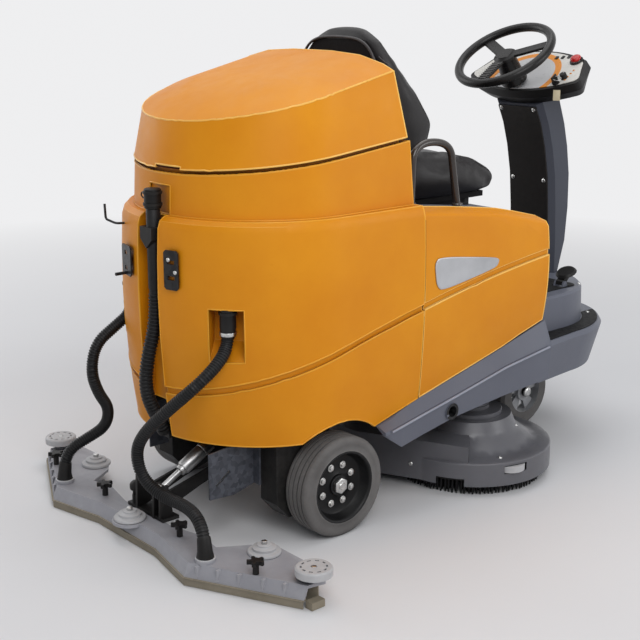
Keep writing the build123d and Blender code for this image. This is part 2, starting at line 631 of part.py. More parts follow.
# Batteries on the tray and the suction turbine behind them
with BuildPart() as batteries:
    BATTERY_L, BATTERY_W, BATTERY_H = 250.0, 150.0, 300.0
    for x0 in (SEAM_X + 20, SEAM_X + 20 + BATTERY_L + 6):
        for y0 in (-312, -156, 0, 156):
            block(x0, x0 + BATTERY_L, y0, y0 + BATTERY_W, TANK_FLOOR_Z + TRAY_T, TANK_FLOOR_Z + TRAY_T + BATTERY_H)
            for dy in (40, BATTERY_W - 40):
                block(x0 + 22, x0 + 38, y0 + dy - 8, y0 + dy + 8, TANK_FLOOR_Z + TRAY_T + BATTERY_H - 1,
                      TANK_FLOOR_Z + TRAY_T + BATTERY_H + 14)
keep(batteries, "batteries")

with BuildPart() as suction_turbine:
    TURBINE_Z = SEAT_DECK_Z - HOOD_WALL
    bar_z(HOOD_REAR_X + 110, 0, TURBINE_Z - 95, TURBINE_Z - 40, 85, flats=DRUM_FLATS)
    bar_z(HOOD_REAR_X + 110, 0, TURBINE_Z - 41, TURBINE_Z, 60, flats=DRUM_FLATS)
    bar_z(HOOD_REAR_X + 110, 0, TURBINE_Z - 130, TURBINE_Z - 94, 30, flats=DRUM_FLATS)
keep(suction_turbine, "suction_turbine")

# Lower cowl: side skirts, nose and two steps, and the pedal's hinge
PEDAL_X = FRONT_AXLE_X + 20.0
PEDAL_Y = -250.0
PEDAL_HALF = 14.0
PEDAL_HINGE_X = PEDAL_X - 30.0
PEDAL_HINGE_Z = STEP_Z + 12.0
PEDAL_PIN_R = 4.0
RIDGE_HALF = BODY_HALF + 20.0
NOSE_REAR_X = HOOD_FRONT_X - 5.0
SKIRT_T = 11.0
SKIRT_SPAN = HOOD_FRONT_X + 14.0 - SKIRT_REAR_X
SKIRT_STATIONS = ((0.0, SKIRT_TOP_Z, 287, 283), (0.098, 330, 300, 231), (0.206, PANEL_LOW_Z, 316, 247),
                  (0.4, 389, 343, 272), (0.7, 442, 388, 292), (1.0, 500, 416, 304))


def skirt_section(top, ridge, low):
    """Shoulder from the side panel out to the ridge and a wall hanging from it, on the right side (Y, Z)."""
    with BuildLine() as profile:
        Polyline((-BODY_HALF + 12 + SKIRT_T, top - 3), (-BODY_HALF + 11, top - 3), (-RIDGE_HALF, ridge + 6),
                 (-RIDGE_HALF - 1, ridge - 3), (-RIDGE_HALF + 7, low), (-RIDGE_HALF + 7 + SKIRT_T, low),
                 (-RIDGE_HALF + SKIRT_T, ridge - 2), close=True)
    make_face(profile.edges())


def nose_outline(radius, flare, mode=Mode.ADD):
    """Plan of the nose: two large corners about fixed centres, running back to the hood."""
    half = CORNER_Y + radius
    with BuildLine() as plan:
        right = Line((NOSE_REAR_X, -half - flare), (CORNER_X, -half))
        corner = CenterArc((CORNER_X, -CORNER_Y), radius, -90, 90)
        front = Line(corner @ 1, (CORNER_X + radius, CORNER_Y))
        far = CenterArc((CORNER_X, CORNER_Y), radius, 0, 90)
        left = Line(far @ 1, (NOSE_REAR_X, half + flare))
        Line(left @ 1, right @ 0)
    make_face(plan.edges(), mode=mode)


def nose_loft(sections):
    """Solid through plans of the nose, each a height, a corner radius and a flare."""
    with BuildPart() as body:
        for z, radius, flare in sections:
            with BuildSketch(Plane.XY.offset(z)):
                nose_outline(radius, flare)
        loft(ruled=True)
    return body.part


NOSE_FLARE = RIDGE_HALF - BODY_HALF
nose_skin = nose_loft(((NOSE_BOTTOM_Z, CORNER_R - NOSE_DRAFT, NOSE_FLARE), (STEP_LOW_Z - 14, CORNER_R, NOSE_FLARE),
                       (STEP_LOW_Z, CORNER_R - 9, NOSE_FLARE)))
nose_hollow = nose_loft(((NOSE_BOTTOM_Z - 2, CORNER_R - NOSE_DRAFT - STEP_T, NOSE_FLARE),
                         (STEP_LOW_Z - STEP_T, CORNER_R - STEP_T - 8, NOSE_FLARE)))
riser_skin = nose_loft(((STEP_LOW_Z - 1, RISER_R, 0), (STEP_Z - 8, RISER_R - 4, 0), (STEP_Z, RISER_R - 12, 0)))
riser_hollow = nose_loft(((STEP_LOW_Z - STEP_T - 1, RISER_R - STEP_T, 0), (STEP_Z - STEP_T, RISER_R - STEP_T - 4, 0)))

with BuildPart() as lower_cowl:
    for share, top, ridge, low in SKIRT_STATIONS:
        station = Plane((SKIRT_REAR_X + share * SKIRT_SPAN, 0, 0), x_dir=(0, 1, 0), z_dir=(1, 0, 0))
        with BuildSketch(station):
            skirt_section(top, ridge, low)
    loft(ruled=True)
    mirror(about=Plane.XZ)
    add(nose_skin)
    add(nose_hollow, mode=Mode.SUBTRACT)
    add(riser_skin)
    add(riser_hollow, mode=Mode.SUBTRACT)
    block(NOSE_REAR_X - 22, NOSE_REAR_X + 4, -CORNER_Y - RISER_R + 14, CORNER_Y + RISER_R - 14, STEP_Z - STEP_T,
          STEP_Z)
    block(NOSE_REAR_X - 30, HOOD_FRONT_X, -HOOD_HALF - SEAT_GAP, HOOD_HALF + SEAT_GAP, STEP_Z, STEP_Z + 20,
          Mode.SUBTRACT)
    for y0, y1 in both_sides(RIDGE_HALF - 19, RIDGE_HALF + 3):
        bar_y(TIE_HOLE_X, TIE_HOLE_Z, y0, y1, TIE_HOLE_R + 9, flats=DRUM_FLATS)
    for y0, y1 in both_sides(RIDGE_HALF - 24, RIDGE_HALF + 8):
        bar_y(TIE_HOLE_X, TIE_HOLE_Z, y0, y1, TIE_HOLE_R, Mode.SUBTRACT)
    for y0, y1 in ((PEDAL_Y - PEDAL_HALF - 6, PEDAL_Y - PEDAL_HALF - RUN_GAP),
                   (PEDAL_Y + PEDAL_HALF + RUN_GAP, PEDAL_Y + PEDAL_HALF + 6)):
        slab([(PEDAL_HINGE_X - 14, STEP_Z - 1), (PEDAL_HINGE_X + 14, STEP_Z - 1),
              (PEDAL_HINGE_X + 7, PEDAL_HINGE_Z + 7), (PEDAL_HINGE_X - 7, PEDAL_HINGE_Z + 7)], y0, y1)
    bar_y(PEDAL_HINGE_X, PEDAL_HINGE_Z, PEDAL_Y - PEDAL_HALF - 6, PEDAL_Y + PEDAL_HALF + 6, PEDAL_PIN_R)
keep(lower_cowl, "lower_cowl")

with BuildPart() as step_pads:
    with BuildSketch(Plane.XY.offset(STEP_LOW_Z)):
        nose_outline(CORNER_R - 14, NOSE_FLARE)
        nose_outline(RISER_R + 4, 0, Mode.SUBTRACT)
        with Locations((CORNER_X + 250, 0)):
            Rectangle(1000, 2 * (CORNER_Y + 190), mode=Mode.SUBTRACT)
        with Locations((NOSE_REAR_X, 0)):
            Rectangle(56, 2 * RIDGE_HALF + 20, mode=Mode.SUBTRACT)
    extrude(amount=PAD_T)
    with BuildSketch(Plane.XY.offset(STEP_Z)):
        with Locations(((HOOD_FRONT_X + CORNER_X + 150) / 2, 0)):
            RectangleRounded(CORNER_X + 130 - HOOD_FRONT_X, 2 * (CORNER_Y + RISER_R) - 110, 30)
        with Locations((PEDAL_HINGE_X, PEDAL_Y)):
            Rectangle(36, 2 * PEDAL_HALF + 20, mode=Mode.SUBTRACT)
    extrude(amount=PAD_T)
keep(step_pads, "step_pads")

# Steering column and its rear cover
COLUMN_LEVELS = ((STEP_Z, 121, 174), (660, 119, 208), (780, 112, 217), (900, 101, 214), (1000, 80, 197),
                 (1080, 54, 175), (1160, 15, 143), (1260, -45, 110))


def column_loft(half, rear_shift=0.0, depth=None):
    """Swept-back column through rounded sections; a depth makes a strip along its rear face instead."""
    with BuildPart() as body:
        for z, rear, front in COLUMN_LEVELS:
            near = rear + rear_shift
            far = front if depth is None else near + depth
            with BuildSketch(Plane((FRONT_AXLE_X + (near + far) / 2, 0, z))):
                Rectangle(far - near, 2 * half)
                if depth is None:
                    chamfer(vertices(), 18)
        loft(ruled=True)
    return body.part


console_plane = Plane((CONSOLE_X, 0, CONSOLE_Z), x_dir=(cos(CONSOLE_TILT), 0, sin(CONSOLE_TILT)),
                      z_dir=(-sin(CONSOLE_TILT), 0, cos(CONSOLE_TILT)))
column_skin = column_loft(COLUMN_HALF)
cover_strip = column_loft(COVER_HALF, rear_shift=-6.0 - SEAT_GAP, depth=6.0)
with BuildPart() as column_shell:
    add(column_skin)
    split(bisect_by=console_plane.offset(-CONSOLE_T), keep=Keep.BOTTOM)
    with BuildSketch(console_plane.offset(-CONSOLE_T - SHAFT_SOCKET)):
        with Locations((WHEEL_U, 0)):
            RegularPolygon(around(STEER_SHAFT_R + RUN_GAP), BORE_FLATS)
    extrude(amount=SHAFT_SOCKET + 1, mode=Mode.SUBTRACT)
keep(column_shell, "column_shell")

with BuildPart() as column_cover:
    add(cover_strip)
    split(bisect_by=console_plane.offset(-CONSOLE_T - 8), keep=Keep.BOTTOM)
    split(bisect_by=Plane.XY.offset(STEP_Z + 60), keep=Keep.TOP)
keep(column_cover, "column_cover")


def console_outline(inset):
    """Fan-shaped console, wide towards the driver, on its own plane."""
    with BuildLine() as plan:
        rear = ThreePointArc((58 + inset, 250 - inset), (-14 + inset, 0), (58 + inset, -250 + inset))
        right = Line(rear @ 1, (182 - inset, -206 + inset))
        front = ThreePointArc(right @ 1, (228 - inset, 0), (182 - inset, 206 - inset))
        Line(front @ 1, rear @ 0)
    make_face(plan.edges())
    fillet(vertices(), 22)


BUTTON_AT = (170, -163)
KEY_AT = (42, -164)
KNOB_AT = (74, -176)
SHAFT_CLEAR_R = STEER_SHAFT_R + 1.0
with BuildPart() as console_housing:
    for depth, inset in ((-CONSOLE_T, 16), (-28, 0), (0, 4)):
        with BuildSketch(console_plane.offset(depth)):
            console_outline(inset)
    loft(ruled=True)
    with BuildSketch(console_plane.offset(-CONSOLE_T - 1)):
        with Locations((WHEEL_U, 0)):
            RegularPolygon(around(SHAFT_CLEAR_R), BORE_FLATS)
        with Locations(KEY_AT, KNOB_AT, BUTTON_AT):
            RegularPolygon(around(5), BORE_FLATS)
    extrude(amount=CONSOLE_T + 2, mode=Mode.SUBTRACT)
keep(console_housing, "console_housing")

with BuildPart() as console_panel:
    with BuildSketch(console_plane):
        console_outline(14)
        with Locations((WHEEL_U, 0)):
            RegularPolygon(around(SHAFT_CLEAR_R), BORE_FLATS, mode=Mode.SUBTRACT)
        with Locations(KEY_AT, KNOB_AT, BUTTON_AT):
            RegularPolygon(around(5), BORE_FLATS, mode=Mode.SUBTRACT)
    extrude(amount=PANEL_T)
keep(console_panel, "console_panel")

wheel_plane = console_plane.offset(WHEEL_RISE)
wheel_plane.origin = wheel_plane.origin + wheel_plane.x_dir * WHEEL_U
with BuildPart() as steering_wheel:
    with BuildSketch(wheel_plane):
        with PolarLocations(STEER_R / 2 + 4, 3, start_angle=60):
            Rectangle(STEER_R - 22, 38)
        RegularPolygon(36, DRUM_FLATS)
    extrude(amount=-12)
    with BuildSketch(Plane(wheel_plane.origin, x_dir=(0, 1, 0), z_dir=wheel_plane.x_dir)):
        with Locations((STEER_R, 0)):
            RegularPolygon(STEER_TUBE_R, 8, rotation=22.5)
    revolve(axis=Axis(wheel_plane.origin, wheel_plane.z_dir))
    with BuildSketch(wheel_plane):
        RegularPolygon(30, DRUM_FLATS)
    extrude(amount=-WHEEL_RISE + PANEL_T + 12, taper=-8)
    with BuildSketch(wheel_plane):
        Circle(STEER_SHAFT_R)
    extrude(amount=-WHEEL_RISE - CONSOLE_T - SHAFT_SOCKET + 8)
    with BuildSketch(wheel_plane.offset(-1)):
        Ellipse(34, 24)
    extrude(amount=8)
keep(steering_wheel, "steering_wheel")


def on_console(spot, rise):
    """Plane on the console at a place of its own, raised above the panel."""
    plane = console_plane.offset(rise)
    return Plane(plane.origin + plane.x_dir * spot[0] + plane.y_dir * spot[1], x_dir=plane.x_dir, z_dir=plane.z_dir)


BUTTON_TRAVEL = 6.0
with BuildPart() as stop_button:
    with BuildSketch(on_console(BUTTON_AT, PANEL_T + BUTTON_TRAVEL + 2)):
        RegularPolygon(19, DRUM_FLATS)
    extrude(amount=12, taper=12)
    with BuildSketch(on_console(BUTTON_AT, -20)):
        RegularPolygon(5 - RUN_GAP, PIN_FLATS)
    extrude(amount=20 + PANEL_T + BUTTON_TRAVEL + 3)
keep(stop_button, "stop_button")

with BuildPart() as key:
    with BuildSketch(on_console(KEY_AT, -15)):
        Circle(5 - RUN_GAP)
    extrude(amount=15 + PANEL_T + 10)
    with BuildSketch(on_console(KEY_AT, PANEL_T + RUN_GAP)):
        RegularPolygon(13, DRUM_FLATS)
    extrude(amount=7)
    with BuildSketch(on_console(KEY_AT, PANEL_T + 6)):
        Rectangle(26, 5)
    extrude(amount=24)
keep(key, "key")

with BuildPart() as console_knob:
    with BuildSketch(on_console(KNOB_AT, -15)):
        Circle(5 - RUN_GAP)
    extrude(amount=15 + PANEL_T + 5)
    with BuildSketch(on_console(KNOB_AT, PANEL_T + RUN_GAP)):
        RegularPolygon(13, 12)
    extrude(amount=18, taper=6)
keep(console_knob, "console_knob")

# Foot pedal on the upper step
with BuildPart() as pedal:
    tread = Plane((PEDAL_X, PEDAL_Y, STEP_Z + 42), x_dir=(cos(0.42), 0, sin(0.42)), z_dir=(-sin(0.42), 0, cos(0.42)))
    with BuildSketch(tread):
        RegularPolygon(37, DRUM_FLATS)
    extrude(amount=9, taper=35)
    slab([(PEDAL_HINGE_X - 7, PEDAL_HINGE_Z - 6), (PEDAL_HINGE_X + 6, PEDAL_HINGE_Z - 6),
          (PEDAL_X + 22, STEP_Z + 48), (PEDAL_X - 8, STEP_Z + 41), (PEDAL_HINGE_X - 7, PEDAL_HINGE_Z + 6)],
         PEDAL_Y - PEDAL_HALF, PEDAL_Y + PEDAL_HALF)
    bore_y(PEDAL_HINGE_X, PEDAL_HINGE_Z, PEDAL_Y - PEDAL_HALF - 1, PEDAL_Y + PEDAL_HALF + 1, PEDAL_PIN_R + RUN_GAP)
keep(pedal, "pedal")

# Seat on its rails
RAIL_TOP_Z = SEAT_DECK_Z + SEAT_RAIL_H
PAN_Z = RAIL_TOP_Z + RUN_GAP
CUSHION_Z = PAN_Z + PAN_T + SEAT_GAP
with BuildPart() as seat_rails:
    for y0, y1 in both_sides(118, 150):
        block(-70, 330, y0, y1, SEAT_DECK_Z, RAIL_TOP_Z)
keep(seat_rails, "seat_rails")

BACK_LEVELS = ((1058, -72, 16, 76, 232), (1140, -84, 4, 83, 238), (1236, -94, -11, 26, 234),
               (1328, -100, -26, -28, 206), (1392, -98, -38, -44, 148), (1428, -84, -52, -56, 78))
with BuildPart() as backrest_cushion:
    for z, rear, middle, bolster, half in BACK_LEVELS:
        with BuildSketch(Plane.XY.offset(z)):
            with BuildLine():
                right = [(rear, -half + 30), ((rear + bolster) / 2 - 6, -half), (bolster - 10, -half + 14),
                         (bolster, -half + 36), (middle - 2, -0.62 * half), (middle + 5, -0.3 * half)]
                Polyline(*right, *on_left(right), close=True)
            make_face()
    loft(ruled=True)
keep(backrest_cushion, "backrest_cushion")

CUSHION_STATIONS = ((-52, CUSHION_Z, 1036, 190), (50, CUSHION_Z, 1052, 216), (200, CUSHION_Z, 1040, 223),
                    (330, CUSHION_Z, 1004, 214), (404, CUSHION_Z + 4, 972, 200), (432, CUSHION_Z + 16, 944, 182))
with BuildPart() as seat_cushion:
    for x, low, high, half in CUSHION_STATIONS:
        with BuildSketch(Plane((x, 0, 0), x_dir=(0, 1, 0), z_dir=(1, 0, 0))):
            with BuildLine():
                tall = high - low
                left = [(half - 26, low), (half, low + 0.45 * tall), (half - 16, low + 0.94 * tall),
                        (half - 42, high), (half - 78, high - 0.12 * tall), (half - 130, high - 0.07 * tall)]
                right = [(-y, z) for y, z in reversed(left)]
                Polyline(*left, *right, close=True)
            make_face()
    loft(ruled=True)
keep(seat_cushion, "seat_cushion")

SHELL_LEVELS = ((PAN_Z, -62, 0, 0, 214),) + BACK_LEVELS[:-1]
SHELL_T = 9.0


def shell_strip(z, rear, half):
    """Cut through the seat shell just behind the backrest, a little narrower than the backrest."""
    with BuildSketch(Plane((rear - SEAT_GAP - SHELL_T / 2, 0, z))) as strip:
        Rectangle(SHELL_T, 2 * (half - 42))
    return strip.sketch


with BuildPart() as seat_shell:
    block(-70, 372, -172, 172, PAN_Z, PAN_Z + PAN_T)
    for (z_low, rear_low, _, _, half_low), (z_high, rear_high, _, _, half_high) in zip(SHELL_LEVELS, SHELL_LEVELS[1:]):
        low_edge = shell_strip(z_low, rear_low, half_low)
        high_edge = shell_strip(z_high, rear_high, half_high)
        loft([low_edge, high_edge], ruled=True)
    for y0, y1 in both_sides(151, 160):
        block(-60, 300, y0, y1, RAIL_TOP_Z - 15, PAN_Z + 2)
    for y0, y1 in both_sides(108, 117):
        block(-60, 300, y0, y1, RAIL_TOP_Z - 15, PAN_Z + 2)
keep(seat_shell, "seat_shell")

# Grab rails at both sides of the seat
RAIL_TUBE_R = 11.0
GRAB_Y = HOOD_HALF - 22.0


def hood_height(x):
    """Top of the hood at a place along it."""
    for (xa, za), (xb, zb) in zip(hood_top, hood_top[1:]):
        if xa <= x <= xb:
            return za + (zb - za) * (x - xa) / (xb - xa)
    return hood_top[-1][1]


with BuildPart() as grab_rails:
    REAR_LEG_X, FRONT_LEG_X = HOOD_REAR_X + 23.0, HOOD_REAR_X + 222.0
    with BuildLine():
        hoop = FilletPolyline((REAR_LEG_X, -GRAB_Y, hood_height(REAR_LEG_X) + 2),
                              (REAR_LEG_X + 6, -GRAB_Y, 1102), (FRONT_LEG_X - 40, -GRAB_Y, 1098),
                              (FRONT_LEG_X, -GRAB_Y, hood_height(FRONT_LEG_X) + 2), radius=62)
    with BuildSketch(Plane(hoop @ 0, z_dir=hoop % 0)):
        RegularPolygon(RAIL_TUBE_R, 8)
    sweep(path=hoop)
    for x in (REAR_LEG_X, FRONT_LEG_X):
        block(x - 17, x + 17, -GRAB_Y - 17, -GRAB_Y + 17, hood_height(x) - 6, hood_height(x) + 7)
    add(battery_hood.part, mode=Mode.SUBTRACT)
    mirror(about=Plane.XZ)
keep(grab_rails, "grab_rails")

# Brush deck
DECK_LINK_SLOT = 7.0
ROLLER_TURN = radians(-104.0)
ROLLER_X = BRUSH_X + 226.0 * cos(ROLLER_TURN)
ROLLER_Y = -BRUSH_Y + 226.0 * sin(ROLLER_TURN)
ROLLER_Z0, ROLLER_Z1 = 76.0, 97.0
TAIL_X = -112.0
TAIL_TOP_Z = 165.0
SHAFT_R = 14.0


def deck_dome(low, profile):
    """One brush housing: a round wall, then a profile up to its top, revolved about the brush axis."""
    with BuildPart() as dome:
        with BuildSketch(Plane.XZ):
            with BuildLine():
                Polyline((0, low), (DECK_R, low), *profile, close=True)
            make_face()
        revolve(axis=Axis.Z)
    return dome.part.moved(Location((BRUSH_X, -BRUSH_Y, 0)))


def deck_tail(grow, low, high):
    """Wedge between the two housings that narrows to the rear."""
    right = [(TAIL_X + grow, -96 + 0.4 * grow), (BRUSH_X - 196 + grow, -BRUSH_Y - 176 + 0.7 * grow), (BRUSH_X, -BRUSH_Y)]
    with BuildPart() as tail:
        sheet(right + on_left(right), low, high)
    return tail.part


deck_skin = deck_dome(DECK_LOW_Z, [(DECK_R, DECK_FLANGE_Z - 4), (DECK_R - 4, DECK_FLANGE_Z),
                                   (206, DECK_FLANGE_Z + 6), (152, 158), (134, DECK_TOP_Z), (0, DECK_TOP_Z)])
with BuildPart() as deck_inside:
    bar_z(BRUSH_X, -BRUSH_Y, DECK_LOW_Z - 2, DECK_FLANGE_Z - 10, DECK_R - DECK_WALL, flats=2 * DRUM_FLATS)
    bar_z(BRUSH_X, -BRUSH_Y, DECK_FLANGE_Z - 11, DECK_FLANGE_Z + 30, 152, flats=DRUM_FLATS)
    bar_z(BRUSH_X, -BRUSH_Y, DECK_FLANGE_Z + 29, DECK_TOP_Z - 8, 126, flats=DRUM_FLATS)
deck_hollow = deck_inside.part
tail_skin = deck_tail(0, DECK_LOW_Z, TAIL_TOP_Z)
tail_hollow = deck_tail(DECK_WALL, DECK_LOW_Z - 2, TAIL_TOP_Z - DECK_WALL)
with BuildPart() as far_hollow:
    add(deck_hollow)
    mirror(about=Plane.XZ, mode=Mode.REPLACE)
with BuildPart() as deck_cover:
    add(deck_skin)
    bar_z(ROLLER_X, ROLLER_Y, ROLLER_Z1 + 6, DECK_FLANGE_Z - 5, 14, flats=PIN_FLATS)
    mirror(about=Plane.XZ)
    add(tail_skin)
    block(LINK_END_X - 30, LINK_END_X + 30, -60, 60, TAIL_TOP_Z - 4, TAIL_TOP_Z + 8)
    add(deck_hollow, mode=Mode.SUBTRACT)
    add(far_hollow.part, mode=Mode.SUBTRACT)
    add(tail_hollow, mode=Mode.SUBTRACT)
    for side in (-1, 1):
        bore_z(BRUSH_X, side * BRUSH_Y, DECK_TOP_Z - 30, DECK_TOP_Z + 1, SHAFT_R + 6)
        bar_z(ROLLER_X, -side * ROLLER_Y, ROLLER_Z0 - 3, ROLLER_Z1 + 3, DECK_ROLLER_R + 6, Mode.SUBTRACT,
              flats=DRUM_FLATS)
        bar_z(ROLLER_X, -side * ROLLER_Y, ROLLER_Z0 - 2, DECK_FLANGE_Z - 4, 8, flats=PIN_FLATS)
    for y0, y1 in both_sides(46, 58):
        slab([(LINK_END_X - 30, TAIL_TOP_Z + 2), (LINK_END_X + 30, TAIL_TOP_Z + 2),
              (LINK_END_X + 24, LINK_END_Z + 22), (LINK_END_X - 24, LINK_END_Z + 22)], y0, y1)
        block(LINK_END_X - 9 - DECK_LINK_SLOT, LINK_END_X + 9 + DECK_LINK_SLOT, y0 - 1, y1 + 1,
              LINK_END_Z - 9 - OPEN_PIVOT_GAP, LINK_END_Z + 9 + OPEN_PIVOT_GAP, Mode.SUBTRACT)
    for side in (-1, 1):
        with Locations(Location((BRUSH_X - 216, side * (BRUSH_Y + 112), DECK_LOW_Z), (0, 0, -side * 58))):
            Box(90, 80, 50, mode=Mode.SUBTRACT)
keep(deck_cover, "deck_cover")

with BuildPart() as brush_motors:
    for side in (-1, 1):
        y = side * BRUSH_Y
        bar_z(BRUSH_X, y, DECK_TOP_Z, DECK_TOP_Z + 14, 104, flats=DRUM_FLATS)
        bar_z(BRUSH_X, y, DECK_TOP_Z + 13, MOTOR_TOP_Z, MOTOR_R, flats=DRUM_FLATS)
        bar_z(BRUSH_X, y, BRUSH_TOP_Z + 5, DECK_TOP_Z + 1, SHAFT_R, flats=PIN_FLATS)
keep(brush_motors, "brush_motors")

STRAND_RINGS = ((140, 18), (172, 28), (204, 38), (232, 66))
for side, name in ((-1, "right"), (1, "left")):
    with BuildPart() as brush:
        bar_z(BRUSH_X, side * BRUSH_Y, BRUSH_TOP_Z - BRUSH_BACK_T, BRUSH_TOP_Z, BRUSH_R)
        bar_z(BRUSH_X, side * BRUSH_Y, BRUSH_TOP_Z - 1, BRUSH_TOP_Z + HUB_UP, 46, flats=DRUM_FLATS)
        bar_z(BRUSH_X, side * BRUSH_Y, BRUSH_TOP_Z - BRUSH_BACK_T - 1, BRUSH_TOP_Z - 6, 110, Mode.SUBTRACT,
              flats=DRUM_FLATS)
        bore_z(BRUSH_X, side * BRUSH_Y, BRUSH_TOP_Z + 4, BRUSH_TOP_Z + HUB_UP + 1, SHAFT_R + RUN_GAP)
        with BuildSketch(Plane((BRUSH_X, side * BRUSH_Y, BRISTLE_TIP_Z))):
            for ring_r, count in STRAND_RINGS:
                with PolarLocations(ring_r, count):
                    RegularPolygon(6, 3)
        extrude(amount=BRUSH_TOP_Z - BRUSH_BACK_T - BRISTLE_TIP_Z + 1)
    keep(brush, f"brush_{name}")
    with BuildPart() as deck_roller:
        y = -side * ROLLER_Y
        bar_z(ROLLER_X, y, ROLLER_Z0, ROLLER_Z1, DECK_ROLLER_R)
        bore_z(ROLLER_X, y, ROLLER_Z0 - 1, ROLLER_Z1 + 1, 8 + RUN_GAP)
        with Locations((ROLLER_X, y, ROLLER_Z1)):
            with PolarLocations(30, 8):
                Box(12, 6, 12, mode=Mode.SUBTRACT)
    keep(deck_roller, f"deck_roller_{name}")

with BuildPart() as deck_link:
    bar_y(LINK_PIVOT_X, LINK_PIVOT_Z, -RAIL_IN - 12, RAIL_IN + 12, 10)
    bar_y(LINK_PIVOT_X, LINK_PIVOT_Z, -RAIL_IN + 1, RAIL_IN - 1, 18, flats=PIN_FLATS)
    for y0, y1 in both_sides(66, 78):
        slab([(LINK_PIVOT_X - 4, LINK_PIVOT_Z + 17), (LINK_PIVOT_X - 4, LINK_PIVOT_Z - 17),
              (LINK_END_X, LINK_END_Z - 14), (LINK_END_X + 12, LINK_END_Z), (LINK_END_X, LINK_END_Z + 14)], y0, y1)
    bar_y(LINK_END_X, LINK_END_Z, -80, 80, 9, flats=PIN_FLATS)
keep(deck_link, "deck_link")

# Squeegee
REAR_EDGE = [(-908, 0), (-908, -150), (-925, -230), (-948, -345), (-796, -SQUEEGEE_END_Y)]
FRONT_EDGE = [(-742, -SQUEEGEE_END_Y - 10), (-708, -625), (-706, -440), (-752, -370), (-836, -318), (-822, -230),
              (-848, -120)]
CENTRE_R = 52.0
WALL_FLARE = 9.0
CENTRE_X = -908.0
ROLLER_AT = (-764.0, 644.0)
DISC_AT = ((-758.0, -432.0), (-758.0, 432.0))
KNOB_OUT = (-854.0, 517.0)
KNOB_IN = (-870.0, 195.0)
BUMPER_R = 50.0
BUMPER_Z0, BUMPER_Z1 = 80.0, 102.0


def squeegee_plan():
    """Winged plate with lobes at both ends and a round centre."""
    right = REAR_EDGE[1:] + FRONT_EDGE
    with BuildLine() as plan:
        Polyline(*right, *on_left(right), close=True)
    make_face(plan.edges())
    with Locations((CENTRE_X, 0)):
        RegularPolygon(CENTRE_R, DRUM_FLATS, rotation=180 / DRUM_FLATS)


def rear_wall_line(shift):
    """Rear edge of the wings, moved outwards by a distance along X."""
    right = [(x - shift, y) for x, y in reversed(REAR_EDGE[1:])]
    with BuildLine() as line:
        Polyline(*right, *on_left(right))
    return line


with BuildPart() as squeegee_body:
    with BuildSketch(Plane.XY.offset(PLATE_Z - PLATE_T)):
        squeegee_plan()
    extrude(amount=PLATE_T)
    with BuildSketch(Plane.XY.offset(SQUEEGEE_WALL_Z)) as wall_foot:
        wall_line = rear_wall_line(WALL_FLARE)
        trace(wall_line.line, line_width=10)
    with BuildSketch(Plane.XY.offset(PLATE_Z)) as wall_top:
        top_line = rear_wall_line(-5)
        trace(top_line.line, line_width=10)
    loft([wall_foot.sketch, wall_top.sketch], ruled=True)
    (xa, ya), (xb, yb) = REAR_EDGE[3], REAR_EDGE[4]
    for share in (0.1, 0.28, 0.46, 0.66, 0.84):
        for side in (-1, 1):
            x, y = xa + share * (xb - xa) - 7, -side * (ya + share * (yb - ya))
            block(x - 6, x + 6, y - 4, y + 4, SQUEEGEE_WALL_Z + 2, PLATE_Z - 2)
    for side in (-1, 1):
        bar_z(PORT_X, side * PORT_Y, PLATE_Z - 1, PLATE_Z + 9, CUFF_R + 6, flats=DRUM_FLATS)
        bar_z(ROLLER_AT[0], side * ROLLER_AT[1], PLATE_Z - 1, BUMPER_Z0 - RUN_GAP, 20, flats=PIN_FLATS)
        bar_z(ROLLER_AT[0], side * ROLLER_AT[1], PLATE_Z, BUMPER_Z1 - 4, 8, flats=PIN_FLATS)
        bar_z(PORT_X, side * PORT_Y, PLATE_Z - PLATE_T - 1, PLATE_Z + 12, HOSE_BORE_R, Mode.SUBTRACT, BORE_FLATS)
        for spot in (KNOB_OUT, KNOB_IN):
            bore_z(spot[0], side * spot[1], PLATE_Z - PLATE_T - 1, PLATE_Z + 5, 5)
keep(squeegee_body, "squeegee_body")

with BuildPart() as squeegee_blades:
    with BuildSketch(Plane.XY.offset(BLADE_TIP_Z)):
        rear_line = rear_wall_line(WALL_FLARE + 5)
        trace(rear_line.line, line_width=5)
        with Locations((-779, SQUEEGEE_END_Y + 12), (-779, -SQUEEGEE_END_Y - 12)):
            Rectangle(44, 26)
    extrude(amount=22 - BLADE_TIP_Z)
    with BuildSketch(Plane.XY.offset(BLADE_TIP_Z)):
        front_line = rear_wall_line(-38)
        trace(front_line.line, line_width=5)
    extrude(amount=PLATE_Z - PLATE_T - BLADE_TIP_Z)
    with BuildSketch(Plane.XY.offset(21)):
        holder_line = rear_wall_line(WALL_FLARE)
        trace(holder_line.line, line_width=20)
    extrude(amount=SQUEEGEE_WALL_Z - 21)
keep(squeegee_blades, "squeegee_blades")

with BuildPart() as guide_discs:
    for x, y in (*DISC_AT, (CENTRE_X, 0)):
        bar_z(x, y, PLATE_Z, PLATE_Z + 9, 46, flats=DRUM_FLATS)
        bar_z(x, y, PLATE_Z + 8, PLATE_Z + 20, 33, flats=DRUM_FLATS)
        bar_z(x, y, PLATE_Z + 19, PLATE_Z + 27, 20, flats=DRUM_FLATS)
        with BuildSketch(Plane((x, y, PLATE_Z + 26))):
            RegularPolygon(9, 6)
        extrude(amount=10)
keep(guide_discs, "guide_discs")

